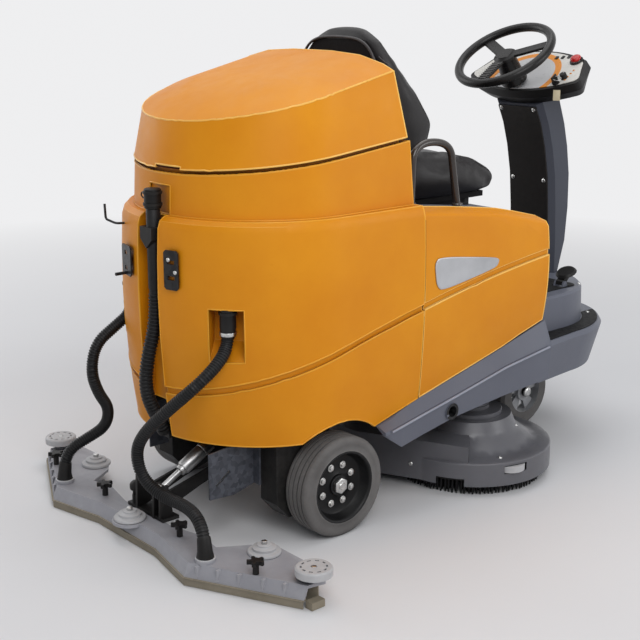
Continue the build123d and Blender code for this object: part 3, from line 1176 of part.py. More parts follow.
for side, name in ((-1, "right"), (1, "left")):
    with BuildPart() as bumper_roller:
        x, y = ROLLER_AT[0], side * ROLLER_AT[1]
        with BuildSketch(Plane((x, y, 0), x_dir=(1, 0, 0), z_dir=(0, -1, 0))):
            with BuildLine():
                Polyline((8 + RUN_GAP, BUMPER_Z0), (BUMPER_R, BUMPER_Z0), (BUMPER_R, BUMPER_Z1 - 4),
                         (BUMPER_R - 4, BUMPER_Z1), (8 + RUN_GAP, BUMPER_Z1), close=True)
            make_face()
        revolve(axis=Axis((x, y, 0), (0, 0, 1)))
        with Locations((x, y, BUMPER_Z1)):
            with PolarLocations(34, 10):
                Box(5, 11, 10, mode=Mode.SUBTRACT)
    keep(bumper_roller, f"bumper_roller_{name}")
    for spot, place in ((KNOB_OUT, "outer"), (KNOB_IN, "inner")):
        with BuildPart() as star_knob:
            x, y = spot[0], side * spot[1]
            bar_z(x, y, PLATE_Z - PLATE_T + RUN_GAP, PLATE_Z + 10, 5 - RUN_GAP)
            bar_z(x, y, PLATE_Z + RUN_GAP, PLATE_Z + 30, 9, flats=PIN_FLATS)
            with BuildSketch(Plane((x, y, PLATE_Z + 29))):
                RegularPolygon(17, 5)
                with PolarLocations(15, 5):
                    Rectangle(18, 9)
            extrude(amount=12)
        keep(star_knob, f"star_knob_{place}_{name}")

# Squeegee arm and its lift actuator
ARM_Z = PLATE_Z + 0.0
RELEASE_X = -868.0
RELEASE_Y = 70.0
with BuildPart() as squeegee_arm:
    bar_y(ARM_PIVOT_X, ARM_PIVOT_Z, -102, 102, 10)
    bar_y(ARM_PIVOT_X, ARM_PIVOT_Z, -89, 89, 17, flats=PIN_FLATS)
    for y0, y1 in both_sides(38, 48):
        slab([(ARM_PIVOT_X + 16, ARM_PIVOT_Z + 10), (ARM_PIVOT_X - 10, ARM_PIVOT_Z + 16), (-690, 158), (-800, 132),
              (-826, 166), (-854, 166), (-858, ARM_Z), (-800, ARM_Z + 20), (-690, 122),
              (ARM_PIVOT_X + 10, ARM_PIVOT_Z - 16)], y0, y1)
    slab([(-812, ARM_Z + 8), (-826, 166), (-854, 166), (-858, ARM_Z + 8)], ACT_Y - 20, ACT_Y - 12)
    sheet([(-856, -92), (-800, -92), (-800, 92), (-856, 92)], ARM_Z, ARM_Z + 10)
    bar_y(ACT_B[0], ACT_B[1], ACT_Y - 20, -38, 6, flats=PIN_FLATS)
    bar_z(-838, RELEASE_Y, ARM_Z + 9, ARM_Z + 34, 14, flats=PIN_FLATS)
    bar_z(-838, RELEASE_Y, ARM_Z + 33, ARM_Z + 48, 6)
keep(squeegee_arm, "squeegee_arm")

with BuildPart() as release_knob:
    for rise, top, radius in ((34 + RUN_GAP, 49, 12), (48, 68, 20), (67, 78, 14)):
        bar_z(-838, RELEASE_Y, ARM_Z + rise, ARM_Z + top, radius, flats=DRUM_FLATS)
    bore_z(-838, RELEASE_Y, ARM_Z + 30, ARM_Z + 49, 6 + RUN_GAP)
keep(release_knob, "release_knob")

act_reach = sqrt((ACT_B[0] - ACT_A[0]) ** 2 + (ACT_B[1] - ACT_A[1]) ** 2)
act_dir = ((ACT_B[0] - ACT_A[0]) / act_reach, 0, (ACT_B[1] - ACT_A[1]) / act_reach)
act_plane = Plane((ACT_A[0], ACT_Y, ACT_A[1]), x_dir=(0, 1, 0), z_dir=act_dir)
ROD_R = 9.0
with BuildPart() as actuator_body:
    with BuildSketch(act_plane.offset(8)):
        RegularPolygon(13, BORE_FLATS)
    extrude(amount=20)
    with BuildSketch(act_plane.offset(26)):
        RegularPolygon(21, DRUM_FLATS)
    extrude(amount=114)
    with BuildSketch(act_plane.offset(139)):
        RegularPolygon(16, BORE_FLATS)
    extrude(amount=12)
    bar_y(ACT_A[0], ACT_A[1], ACT_Y - 17, ACT_Y + 17, 14, flats=BORE_FLATS)
    bore_y(ACT_A[0], ACT_A[1], ACT_Y - 18, ACT_Y + 18, 6 + RUN_GAP)
    with BuildSketch(act_plane.offset(60)):
        RegularPolygon(around(ROD_R + RUN_GAP), BORE_FLATS)
    extrude(amount=100, mode=Mode.SUBTRACT)
keep(actuator_body, "actuator_body")

with BuildPart() as actuator_rod:
    with BuildSketch(act_plane.offset(100)):
        RegularPolygon(ROD_R, PIN_FLATS)
    extrude(amount=act_reach - 100 - 6)
    bar_y(ACT_B[0], ACT_B[1], ACT_Y - 10, ACT_Y + 10, 15, flats=BORE_FLATS)
    bore_y(ACT_B[0], ACT_B[1], ACT_Y - 11, ACT_Y + 11, 6 + OPEN_PIVOT_GAP)
keep(actuator_rod, "actuator_rod")

# Hoses
FITTING_Z = 645.0
EXIT_Z = FITTING_Z - 44.0
PORT_TOP_Z = PLATE_Z + 9 + SEAT_GAP
RIGHT_ROUTE = [(FITTING_X, -FITTING_Y, FITTING_Z), (FITTING_X, -FITTING_Y, EXIT_Z), (-768, -257, 558),
               (-838, -254, 510), (-882, -194, 444), (-914, -116, 366), (-930, -78, 300), (-924, -94, 222),
               (-900, -156, 178), (-886, -258, 176), (-896, -326, 164), (PORT_X, -PORT_Y, 122),
               (PORT_X, -PORT_Y, PORT_TOP_Z)]
LEFT_ROUTE = [(FITTING_X, FITTING_Y, FITTING_Z), (FITTING_X, FITTING_Y, EXIT_Z), (-770, 258, 560),
              (-838, 264, 516), (-864, 256, 436), (-838, 264, 362), (-792, 280, 300), (-792, 304, 234),
              (-838, 340, 196), (-886, 362, 168), (PORT_X, PORT_Y, 122), (PORT_X, PORT_Y, PORT_TOP_Z)]


def route_radii(points):
    """Largest tangent arc that fits each corner of a route."""
    radii = []
    for before, here, after in zip(points, points[1:], points[2:]):
        inward = Vector(*here) - Vector(*before)
        outward = Vector(*after) - Vector(*here)
        turn = radians(inward.get_angle(outward))
        radii.append(0.45 * min(inward.length, outward.length) / tan(turn / 2))
    return radii


def suction_hose(points, name):
    """Smooth suction hose along its route."""
    radii = route_radii(points)
    print(name, "radii", [round(r) for r in radii])
    with BuildPart() as hose:
        with BuildLine():
            path = FilletPolyline(*points, radius=radii)
        with BuildSketch(Plane(path @ 0, z_dir=path % 0)):
            RegularPolygon(HOSE_R, HOSE_FLATS)
        sweep(path=path)
    section = HOSE_FLATS / 2 * HOSE_R ** 2 * sin(2 * pi / HOSE_FLATS)
    print(name, "volume", round(hose.part.volume), "section by length", round(section * path.length))
    return hose.part


for points, name in ((RIGHT_ROUTE, "right"), (LEFT_ROUTE, "left")):
    hose_tube = suction_hose(points, f"suction_hose_{name}")
    with BuildPart() as hose_node:
        add(hose_tube)
        first = Vector(*points[1]) - Vector(*points[0])
        last = Vector(*points[-2]) - Vector(*points[-1])
        for end, way, length in ((points[0], first, 24), (points[-1], last, CUFF_L)):
            with BuildSketch(Plane(end, z_dir=way)):
                RegularPolygon(CUFF_R, HOSE_FLATS)
            extrude(amount=length, taper=4)
            with BuildSketch(Plane(end, z_dir=way)):
                RegularPolygon(HOSE_BORE_R, HOSE_FLATS)
            extrude(amount=length, mode=Mode.SUBTRACT)
    keep(hose_node, f"suction_hose_{name}")

# Drain hose in the tank's rear channel, with its holder, outlet and cap
DRAIN_TOP_Z = 955.0
DRAIN_X = CHANNEL_X - 23.0
DRAIN_ROUTE = [(DRAIN_X, DRAIN_Y, 718), (DRAIN_X - 6, DRAIN_Y, 620), (DRAIN_X - 36, DRAIN_Y, 530),
               (DRAIN_X - 46, DRAIN_Y, 450), (DRAIN_X - 26, DRAIN_Y, 380), (DRAIN_X + 10, DRAIN_Y, 318)]
drain_radii = route_radii(DRAIN_ROUTE)
print("drain_hose radii", [round(r) for r in drain_radii])
with BuildLine() as drain_line:
    drain_path = FilletPolyline(*DRAIN_ROUTE, radius=drain_radii)
RIB_SHARES = (0.0, 0.3, 0.5, 0.8)
BORE_STEPS = 8
drain_length = drain_path.length
STRAIGHT = 2 * DRAIN_R / drain_length
with BuildPart() as drain_hose:
    stops = [(0.0, 0.0)]
    for rib in range(DRAIN_RIBS):
        for share in RIB_SHARES:
            stops.append((STRAIGHT + (1 - 2 * STRAIGHT) * (rib + share) / DRAIN_RIBS,
                          DRAIN_RIB_H if share in (0.5, 0.8) else 0.0))
    stops += [(1 - STRAIGHT, 0.0), (1.0, 0.0)]
    for along, rise in stops:
        with BuildSketch(Plane(drain_path @ along, x_dir=(0, 1, 0), z_dir=drain_path % along)):
            RegularPolygon(DRAIN_R - DRAIN_RIB_H + rise, HOSE_FLATS)
    loft(ruled=True)
    bar_z(DRAIN_X, DRAIN_Y, DRAIN_ROUTE[0][2] - 5, DRAIN_TOP_Z, DRAIN_R, flats=DRUM_FLATS)
    bore_sections = []
    for step in range(BORE_STEPS + 1):
        along = step / BORE_STEPS
        with BuildSketch(Plane(drain_path @ along, x_dir=(0, 1, 0), z_dir=drain_path % along)) as bore_section:
            RegularPolygon(DRAIN_BORE_R, HOSE_FLATS)
        bore_sections.append(bore_section.sketch)
    loft(bore_sections, ruled=True, mode=Mode.SUBTRACT)
    bar_z(DRAIN_X, DRAIN_Y, DRAIN_ROUTE[0][2], DRAIN_TOP_Z + 1, DRAIN_BORE_R, Mode.SUBTRACT, BORE_FLATS)
keep(drain_hose, "drain_hose")

with BuildPart() as hose_fittings:
    shield = [(DRAIN_Y - 28, 905), (DRAIN_Y + 28, 905), (DRAIN_Y + 28, 872), (DRAIN_Y, 846), (DRAIN_Y - 28, 872)]
    with BuildSketch(Plane.YZ.offset(DRAIN_X - DRAIN_R - 7)):
        with BuildLine():
            Polyline(*shield, close=True)
        make_face()
    extrude(amount=CHANNEL_X - DRAIN_X + DRAIN_R + 7)
    bar_z(DRAIN_X, DRAIN_Y, 840, 910, DRAIN_R + RUN_GAP, Mode.SUBTRACT, DRUM_FLATS)
    outlet = Plane(DRAIN_ROUTE[-1], x_dir=(0, 1, 0), z_dir=drain_path % 1)
    with BuildSketch(outlet.offset(SEAT_GAP)):
        RegularPolygon(DRAIN_R + 3, DRUM_FLATS)
        RegularPolygon(DRAIN_BORE_R, BORE_FLATS, mode=Mode.SUBTRACT)
    extrude(amount=14)
    block(CHANNEL_X - 12, CHANNEL_X + 44, DRAIN_Y - 26, DRAIN_Y + 26, 290, 308)
    block(CHANNEL_X + 14, CHANNEL_X + 44, DRAIN_Y - 22, DRAIN_Y + 22, 300, TANK_FLOOR_Z)
    for side in (-1, 1):
        bar_z(FITTING_X, side * FITTING_Y, FITTING_Z + SEAT_GAP, POCKET_Z, CUFF_R + 1, flats=BORE_FLATS)
        bar_z(FITTING_X, side * FITTING_Y, POCKET_Z - 16, POCKET_Z - 8, CUFF_R + 4, flats=BORE_FLATS)
        bar_z(FITTING_X, side * FITTING_Y, FITTING_Z - 1, POCKET_Z - 10, HOSE_BORE_R, Mode.SUBTRACT, PIN_FLATS)
keep(hose_fittings, "hose_fittings")

with BuildPart() as drain_cap:
    bar_z(DRAIN_X, DRAIN_Y, DRAIN_TOP_Z + RUN_GAP, DRAIN_TOP_Z + 55, DRAIN_R + 4, flats=DRUM_FLATS)
    for z in (DRAIN_TOP_Z + 8, DRAIN_TOP_Z + 40):
        bar_z(DRAIN_X, DRAIN_Y, z, z + 8, DRAIN_R + 7, flats=DRUM_FLATS)
    bar_z(DRAIN_X, DRAIN_Y, DRAIN_TOP_Z - 25, DRAIN_TOP_Z + 2, DRAIN_BORE_R * cos(pi / BORE_FLATS) - RUN_GAP)
keep(drain_cap, "drain_cap")


# Hanger plates on both sides of the drain channel
def wall_x(y, z):
    """Rear wall of the tank at a place across and up."""
    return REAR_AXLE_X - tank_rear(z) * sqrt(1 - (y / tank_side(z)) ** 2)


HOOK_Y = 150.0
HOOK_Z = 890.0
PLATE_STAND = 6.0
with BuildPart() as hanger_brackets:
    for y0, y1, z0, z1 in ((-138, -88, 744, 854), (62, 132, 751, 838)):
        lean = (wall_x(y1, 790) - wall_x(y0, 790)) / (y1 - y0)
        mid_y = (y0 + y1) / 2
        flat = Plane((wall_x(mid_y, 790), mid_y, (z0 + z1) / 2), x_dir=(lean, 1, 0), z_dir=(-1, lean, 0))
        with BuildSketch(flat.offset(PLATE_STAND)):
            Rectangle(y1 - y0, z1 - z0)
            chamfer(vertices(), 7)
            with Locations((0, 22), (0, -22)):
                Rectangle(24, 11, mode=Mode.SUBTRACT)
        extrude(amount=4)
        with BuildSketch(flat.offset(SEAT_GAP)):
            RegularPolygon(8, 6)
        extrude(amount=PLATE_STAND + 1 - SEAT_GAP)
    peg_x = wall_x(100, 757) - PLATE_STAND
    with BuildSketch(Plane((peg_x, 100, 758), x_dir=(0, 1, 0), z_dir=(-1, 0, 0))):
        RegularPolygon(5, 6)
    extrude(amount=40)
    hook_x = wall_x(HOOK_Y, HOOK_Z) - 4 * SEAT_GAP
    with BuildLine():
        hook = FilletPolyline((hook_x, HOOK_Y, HOOK_Z), (hook_x - 26, HOOK_Y + 2, HOOK_Z + 2),
                              (hook_x - 34, HOOK_Y + 42, HOOK_Z + 10), (hook_x - 30, HOOK_Y + 52, HOOK_Z + 52), radius=12)
    with BuildSketch(Plane(hook @ 0, z_dir=hook % 0)):
        RegularPolygon(3.5, 8)
    sweep(path=hook)
keep(hanger_brackets, "hanger_brackets")
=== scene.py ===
"""Looks of a ride-on floor scrubber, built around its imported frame.

Metres, X forward, Y to the driver's left, Z up. Routes, profiles and places taken over from the part are in
millimetres and are turned into metres by mm().
"""
from __future__ import annotations

import json
import logging
import math
import random
from contextlib import contextmanager
from dataclasses import dataclass
from enum import Enum
from typing import Callable, Iterator, Sequence

import bmesh
import bpy
from mathutils import Matrix, Vector
from mathutils.bvhtree import BVHTree
from mathutils.kdtree import KDTree

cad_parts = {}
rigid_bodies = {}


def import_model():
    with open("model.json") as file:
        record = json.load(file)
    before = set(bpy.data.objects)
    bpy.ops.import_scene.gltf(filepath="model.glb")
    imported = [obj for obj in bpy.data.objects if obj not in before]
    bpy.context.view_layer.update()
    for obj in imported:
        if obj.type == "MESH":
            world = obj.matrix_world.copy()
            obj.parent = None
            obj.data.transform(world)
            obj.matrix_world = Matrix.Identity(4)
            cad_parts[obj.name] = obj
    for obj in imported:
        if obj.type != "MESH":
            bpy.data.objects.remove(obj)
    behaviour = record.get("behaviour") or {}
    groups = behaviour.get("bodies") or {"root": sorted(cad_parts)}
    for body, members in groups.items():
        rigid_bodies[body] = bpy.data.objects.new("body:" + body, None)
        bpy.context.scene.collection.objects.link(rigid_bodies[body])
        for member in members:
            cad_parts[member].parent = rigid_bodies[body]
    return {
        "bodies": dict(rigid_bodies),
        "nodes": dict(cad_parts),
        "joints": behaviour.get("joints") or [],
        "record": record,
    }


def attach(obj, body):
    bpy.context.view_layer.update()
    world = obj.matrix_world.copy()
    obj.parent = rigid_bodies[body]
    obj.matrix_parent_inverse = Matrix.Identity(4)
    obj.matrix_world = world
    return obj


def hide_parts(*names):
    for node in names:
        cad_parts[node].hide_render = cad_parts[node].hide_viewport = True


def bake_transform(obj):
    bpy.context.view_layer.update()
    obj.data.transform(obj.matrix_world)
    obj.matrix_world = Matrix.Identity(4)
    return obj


LOG = logging.getLogger("scrubber")
UP = (0, 0, 1)
BEHIND_ALL = -9.0
ROUND_ANGLE = 40.0
Piece = bpy.types.Object
Socket = bpy.types.NodeSocket
Pair = tuple[float, float]
Triple = tuple[float, float, float]
Four = tuple[float, float, float, float]
Point = Sequence[float]
Points = Sequence[Point]
Profile = Sequence[Pair]
Colour = tuple[int, int, int]


def mm(*values: float) -> tuple[float, ...]:
    """Millimetres in metres."""
    return tuple(v / 1000.0 for v in values)


def tone(colour: Colour) -> Four:
    """Linear colour of a display colour.

    Args:
        colour: Red, green and blue from 0 to 255.

    Returns:
        Linear red, green, blue and a full alpha.
    """
    parts = [c / 255.0 for c in colour]
    linear = [p / 12.92 if p <= 0.04045 else ((p + 0.055) / 1.055) ** 2.4 for p in parts]
    return (linear[0], linear[1], linear[2], 1.0)


class Side(Enum):
    """A side of the machine, with the sign of its Y."""

    RIGHT = -1
    LEFT = 1

    def __str__(self) -> str:
        """Word for the side in the names of nodes and pieces."""
        return self.name.lower()


class Grain(Enum):
    """Surface texture: cells per metre, stretch along X, Y and Z, and bump height in metres."""

    MOULDED = (700.0, (1.0, 1.0, 1.0), 0.00010)
    VINYL = (420.0, (1.0, 1.0, 1.0), 0.00035)
    RUBBER = (520.0, (1.0, 1.0, 1.0), 0.00022)
    TREAD = (260.0, (1.0, 1.0, 1.0), 0.00030)
    CAST = (330.0, (1.0, 1.0, 1.0), 0.00030)
    BRUSHED = (300.0, (0.05, 1.0, 1.0), 0.00008)
    GALVANISED = (75.0, (1.0, 1.0, 1.0), 0.00006)
    POWDER = (900.0, (1.0, 1.0, 1.0), 0.00018)
    BRISTLE = (500.0, (1.0, 1.0, 0.08), 0.00030)
    GLOSS = (60.0, (1.0, 1.0, 1.0), 0.00003)


@dataclass(frozen=True)
class Finish:
    """A finish with cloudy colour, worn edges that also carry a painted highlight, painted shade in gaps, a
    grain and an uneven gloss.

    Attributes:
        name: Name of the material.
        base: Main colour.
        shade: Colour of its darker clouds.
        rough: Lowest and highest roughness.
        grain: Surface texture.
        metal: 1 for bare metal.
        edge: Colour of worn corners, both as scuffs and as a painted highlight on them.
        wear: How far worn corners take that colour.
        cloud: Clouds per metre.
        coat: Clear coat weight.
        depth: Factor on the grain's bump.
        spec: Strength of the reflection of what isn't metal.
        cavity: Colour of the painted shade deep in grooves and gaps.
    """

    name: str
    base: Colour
    shade: Colour
    rough: Pair
    grain: Grain
    metal: float = 0.0
    edge: Colour = (200, 200, 200)
    wear: float = 0.0
    cloud: float = 5.0
    coat: float = 0.0
    depth: float = 1.0
    spec: float = 0.28
    cavity: Colour | None = None

    def material(self) -> bpy.types.Material:
        """Node material of the finish, made once and then shared."""
        made = bpy.data.materials.get(f"{self.name}_finish")
        return made if made else Dye(self).mix()


class Dye:
    """Builds the nodes of one finish. A span is the part of a texture's range that is put to use."""

    NOISE_ROUGH = 0.6
    CLOUD_SPAN = (0.32, 0.68)
    CELL_SPAN = (0.1, 0.9)
    SPECK_SPAN = (0.62, 0.75)
    SPECK_SHARE = 0.35
    SPECK_FINE = 45.0
    CORNER_SPAN = (0.515, 0.60)
    SCUFF_SPAN = (0.35, 0.7)
    SCUFF_LEAST = 0.35
    SCUFF_FINE = 9.0
    SHELTER_REACH = 0.035
    SHELTER_SAMPLES = 6
    SHELTER_SPAN = (0.12, 0.55)
    GLOSS_SPAN = (0.3, 0.7)
    GLOSS_FINE = 6.0
    COAT_ROUGH = 0.15

    def __init__(self, finish: Finish) -> None:
        """Start an empty material.

        Args:
            finish: Finish that it gets.
        """
        self.finish = finish
        self.made = bpy.data.materials.new(f"{finish.name}_finish")
        self.made.use_nodes = True
        self.tree = self.made.node_tree
        self.tree.nodes.clear()
        self.place = self.node("ShaderNodeTexCoord").outputs["Object"]

    def node(self, kind: str, **sockets: object) -> bpy.types.Node:
        """Add a node and set its inputs.

        Args:
            kind: Type of the node.
            sockets: Values of its inputs by name.

        Returns:
            The node.
        """
        made = self.tree.nodes.new(kind)
        for name, value in sockets.items():
            made.inputs[name.replace("_", " ")].default_value = value
        return made

    def join(self, out: Socket, into: Socket) -> None:
        """Link an output to an input."""
        self.tree.links.new(out, into)

    def vector_step(self, operation: str, value: Socket) -> bpy.types.Node:
        """Add a vector sum, difference or length.

        Args:
            operation: Name of the operation.
            value: First vector.

        Returns:
            The node.
        """
        made = self.tree.nodes.new("ShaderNodeVectorMath")
        made.operation = operation
        self.join(value, made.inputs[0])
        return made

    def noise(self, scale: float, detail: float = 3.0, place: Socket | None = None) -> Socket:
        """Noise over the piece.

        Args:
            scale: Spots per metre.
            detail: Octaves of finer noise.
            place: Coordinates, where they aren't the piece's own.

        Returns:
            Value of the noise.
        """
        made = self.node("ShaderNodeTexNoise", Scale=scale, Detail=detail, Roughness=self.NOISE_ROUGH)
        self.join(place or self.place, made.inputs["Vector"])
        return made.outputs["Fac"]

    def ranged(self, value: Socket, span: Point, to: Point = (0.0, 1.0)) -> Socket:
        """Value moved from one range to another and held inside it.

        Args:
            value: The value.
            span: Range that it is taken from.
            to: Range that it is moved to.

        Returns:
            The moved value.
        """
        made = self.node("ShaderNodeMapRange")
        for socket, number in zip(made.inputs[1:5], (*span, *to)):
            socket.default_value = number
        self.join(value, made.inputs["Value"])
        return made.outputs["Result"]

    def blend(self, share: Socket, first: object, second: object) -> Socket:
        """Colour between two colours, each a tuple or an output.

        Args:
            share: Share of the second colour.
            first: Colour at share 0.
            second: Colour at share 1.

        Returns:
            The mixed colour.
        """
        made = self.tree.nodes.new("ShaderNodeMix")
        made.data_type = "RGBA"
        self.join(share, made.inputs["Factor"])
        for socket, colour in ((made.inputs[6], first), (made.inputs[7], second)):
            if isinstance(colour, tuple):
                socket.default_value = colour
            else:
                self.join(colour, socket)
        return made.outputs[2]

    def cells(self, scale: float, output: str = "Distance") -> Socket:
        """Voronoi cells over the piece.

        Args:
            scale: Cells per metre.
            output: Distance or Color.

        Returns:
            That output of the cells.
        """
        made = self.node("ShaderNodeTexVoronoi", Scale=scale)
        self.join(self.place, made.inputs["Vector"])
        return made.outputs[output]

    def colour(self) -> Socket:
        """Cloudy colour with specks, worn corners that also carry a painted highlight, and painted shade in
        gaps.

        Returns:
            The colour.
        """
        f = self.finish
        clouds = self.ranged(self.noise(f.cloud, 5.0), self.CLOUD_SPAN)
        if f.grain is Grain.GALVANISED:
            clouds = self.ranged(self.cells(f.grain.value[0], "Color"), self.CELL_SPAN)
        mixed = self.blend(clouds, tone(f.shade), tone(f.base))
        specks = self.noise(f.cloud * self.SPECK_FINE, 2.0)
        share = self.ranged(specks, self.SPECK_SPAN, (0.0, self.SPECK_SHARE))
        mixed = self.blend(share, mixed, tone(f.shade))
        # Corners turn towards the lighter edge colour: partly scuffed wear, partly a painted highlight.
        if f.wear:
            corner = self.node("ShaderNodeNewGeometry").outputs["Pointiness"]
            worn = self.ranged(corner, self.CORNER_SPAN, (0.0, f.wear))
            patches = self.noise(f.cloud * self.SCUFF_FINE)
            scuff = self.tree.nodes.new("ShaderNodeMath")
            scuff.operation = "MULTIPLY"
            self.join(worn, scuff.inputs[0])
            self.join(self.ranged(patches, self.SCUFF_SPAN, (self.SCUFF_LEAST, 1.0)), scuff.inputs[1])
            mixed = self.blend(scuff.outputs[0], mixed, tone(f.edge))
        # Painted shade: ambient occlusion turns grooves and gaps towards the cavity colour.
        if f.cavity:
            occlusion = self.node("ShaderNodeAmbientOcclusion", Distance=self.SHELTER_REACH)
            occlusion.samples = self.SHELTER_SAMPLES
            deep = self.ranged(occlusion.outputs["AO"], self.SHELTER_SPAN, (1.0, 0.0))
            mixed = self.blend(deep, mixed, tone(f.cavity))
        return mixed

    def bump(self) -> Socket:
        """Relief of the grain.

        Returns:
            The surface normal with it.
        """
        scale, stretch, height = self.finish.grain.value
        turned = self.node("ShaderNodeMapping", Scale=stretch)
        self.join(self.place, turned.inputs["Vector"])
        relief = self.noise(scale, 2.0, turned.outputs["Vector"])
        if self.finish.grain is Grain.VINYL:
            relief = self.cells(scale)
        made = self.node("ShaderNodeBump", Strength=1.0, Distance=height * self.finish.depth)
        self.join(relief, made.inputs["Height"])
        return made.outputs["Normal"]

    def shader(self, colour: Socket) -> bpy.types.Node:
        """Principled shader with the gloss and the grain.

        Args:
            colour: Base colour.

        Returns:
            The shader.
        """
        f = self.finish
        made = self.node("ShaderNodeBsdfPrincipled", Metallic=f.metal, Coat_Weight=f.coat,
                         Specular_IOR_Level=f.spec, Coat_Roughness=self.COAT_ROUGH)
        self.join(colour, made.inputs["Base Color"])
        gloss = self.ranged(self.noise(f.cloud * self.GLOSS_FINE, 4.0), self.GLOSS_SPAN, f.rough)
        self.join(gloss, made.inputs["Roughness"])
        self.join(self.bump(), made.inputs["Normal"])
        return made

    def mix(self, colour: Socket | None = None) -> bpy.types.Material:
        """Finish the material.

        Args:
            colour: Colour in place of the finish's own.

        Returns:
            The material.
        """
        surface = self.shader(colour or self.colour())
        out = self.node("ShaderNodeOutputMaterial")
        self.join(surface.outputs["BSDF"], out.inputs["Surface"])
        return self.made


# A cavity colour below is painted shade in grooves and gaps.
ORANGE = Finish("orange_moulding", (222, 144, 18), (212, 131, 12), (0.38, 0.50), Grain.MOULDED,
                cloud=3.0, cavity=(66, 18, 4), spec=0.22)
# The two lighter oranges below paint a highlight on beads and rounded edges.
ORANGE_SOFT_HIGHLIGHT = Finish("orange_soft_edge", (232, 166, 50), (226, 156, 42), (0.30, 0.40), Grain.GLOSS, cloud=9.0)
ORANGE_HIGHLIGHT = Finish("orange_edge", (248, 200, 106), (242, 186, 86), (0.26, 0.36), Grain.GLOSS,
                     cloud=9.0, cavity=(120, 42, 10))
# Dark red-brown strips that paint the shade in the lid's gap and beside the tank.
GAP_SHADE = Finish("seam_gasket", (66, 20, 8), (48, 14, 6), (0.55, 0.7), Grain.RUBBER, cloud=20.0, spec=0.1)
SKIRT = Finish("blue_grey_moulding", (99, 102, 113), (94, 97, 108), (0.40, 0.45), Grain.MOULDED, cloud=4.0)
COLUMN = Finish("column_moulding", (66, 69, 79), (62, 65, 75), (0.40, 0.45), Grain.MOULDED, cloud=4.0)
# Lighter blue-grey for the skirt's rounded edges and ridge bead: a painted highlight.
SKIRT_HIGHLIGHT = Finish("blue_grey_edge", (150, 154, 168), (138, 142, 156), (0.30, 0.40), Grain.GLOSS, cloud=9.0)
# Lighter edge colours below are partly wear and partly a painted highlight on corners.
BLACK = Finish("black_moulding", (24, 23, 23), (19, 18, 18), (0.38, 0.52), Grain.MOULDED,
               edge=(70, 68, 66), wear=0.3, cloud=7.0, spec=0.2)
COVER = Finish("brown_black_cover", (29, 26, 26), (24, 22, 21), (0.36, 0.48), Grain.MOULDED,
               edge=(84, 80, 76), wear=0.3, cloud=6.0, spec=0.16)
DECK = Finish("deck_moulding", (98, 98, 103), (91, 91, 96), (0.28, 0.38), Grain.MOULDED, cloud=6.0, spec=0.45)
# Darker deck colour painted where the cover lies in shade.
DECK_PAINTED_SHADE = Finish("deck_inner_moulding", (54, 54, 57), (48, 48, 51), (0.40, 0.52), Grain.MOULDED,
                    cloud=6.0, spec=0.2)
# Lighter grey for the deck's rounded edges: a painted highlight.
DECK_HIGHLIGHT = Finish("deck_edge", (136, 136, 142), (122, 122, 128), (0.32, 0.42), Grain.GLOSS, cloud=9.0)
WHEEL = Finish("wheel_grip", (20, 19, 19), (15, 14, 14), (0.24, 0.36), Grain.MOULDED,
               edge=(66, 64, 62), wear=0.25, cloud=9.0, coat=0.1, spec=0.2)
SPOKE = Finish("spoke_grey", (96, 95, 94), (84, 83, 82), (0.35, 0.5), Grain.MOULDED, cloud=12.0)
RED = Finish("signal_red", (188, 26, 26), (168, 18, 18), (0.2, 0.32), Grain.GLOSS, cloud=20.0, coat=0.3)
PALE = Finish("pale_moulding", (188, 188, 190), (172, 172, 174), (0.42, 0.6), Grain.MOULDED,
              edge=(220, 220, 222), wear=0.3, cloud=9.0, cavity=(92, 92, 94))
CAST = Finish("cast_grey", (160, 160, 166), (146, 146, 152), (0.44, 0.58), Grain.CAST,
              edge=(206, 206, 210), wear=0.45, cloud=7.0, cavity=(80, 80, 84))
# Lighter grey for the squeegee's rounded edges: a painted highlight.
CAST_HIGHLIGHT = Finish("cast_edge", (204, 204, 209), (188, 188, 193), (0.34, 0.46), Grain.CAST, cloud=9.0)
STEEL = Finish("black_steel", (28, 27, 27), (22, 21, 21), (0.38, 0.55), Grain.POWDER,
               edge=(92, 90, 88), wear=0.3, cloud=8.0, spec=0.2)
RAIL = Finish("rail_brown_black", (46, 38, 34), (38, 31, 27), (0.16, 0.28), Grain.POWDER,
              edge=(120, 112, 106), wear=0.25, cloud=8.0, coat=0.5, depth=0.5)
ZINC = Finish("zinc_plate", (86, 89, 97), (60, 62, 69), (0.45, 0.6), Grain.GALVANISED,
              metal=0.3, cloud=14.0, spec=0.3)
HANGER = Finish("hanger_steel", (52, 52, 54), (34, 34, 36), (0.28, 0.44), Grain.GALVANISED,
                metal=0.5, cloud=20.0)
SILVER = Finish("satin_alloy", (176, 176, 176), (150, 150, 150), (0.26, 0.42), Grain.BRUSHED,
                metal=1.0, cloud=12.0)
BOLT = Finish("bright_bolt", (206, 206, 204), (176, 176, 175), (0.22, 0.38), Grain.BRUSHED,
              metal=1.0, cloud=40.0)
TYRE = Finish("grey_tyre", (106, 104, 103), (90, 88, 87), (0.62, 0.82), Grain.TREAD,
              edge=(142, 139, 136), wear=0.4, cloud=9.0, cavity=(44, 43, 42))
RIM = Finish("rim_black", (14, 14, 15), (10, 10, 11), (0.30, 0.44), Grain.POWDER,
             edge=(80, 80, 82), wear=0.3, cloud=9.0, spec=0.2)
HUB = Finish("hub_grey", (170, 171, 174), (152, 153, 156), (0.4, 0.56), Grain.MOULDED, cloud=10.0)
HOSE = Finish("hose_black", (25, 25, 26), (19, 19, 20), (0.36, 0.52), Grain.RUBBER,
              edge=(66, 66, 68), wear=0.3, cloud=12.0, spec=0.22)
PAD = Finish("tread_pad", (22, 22, 23), (16, 16, 17), (0.55, 0.75), Grain.RUBBER,
             cloud=10.0, depth=2.2, spec=0.16)
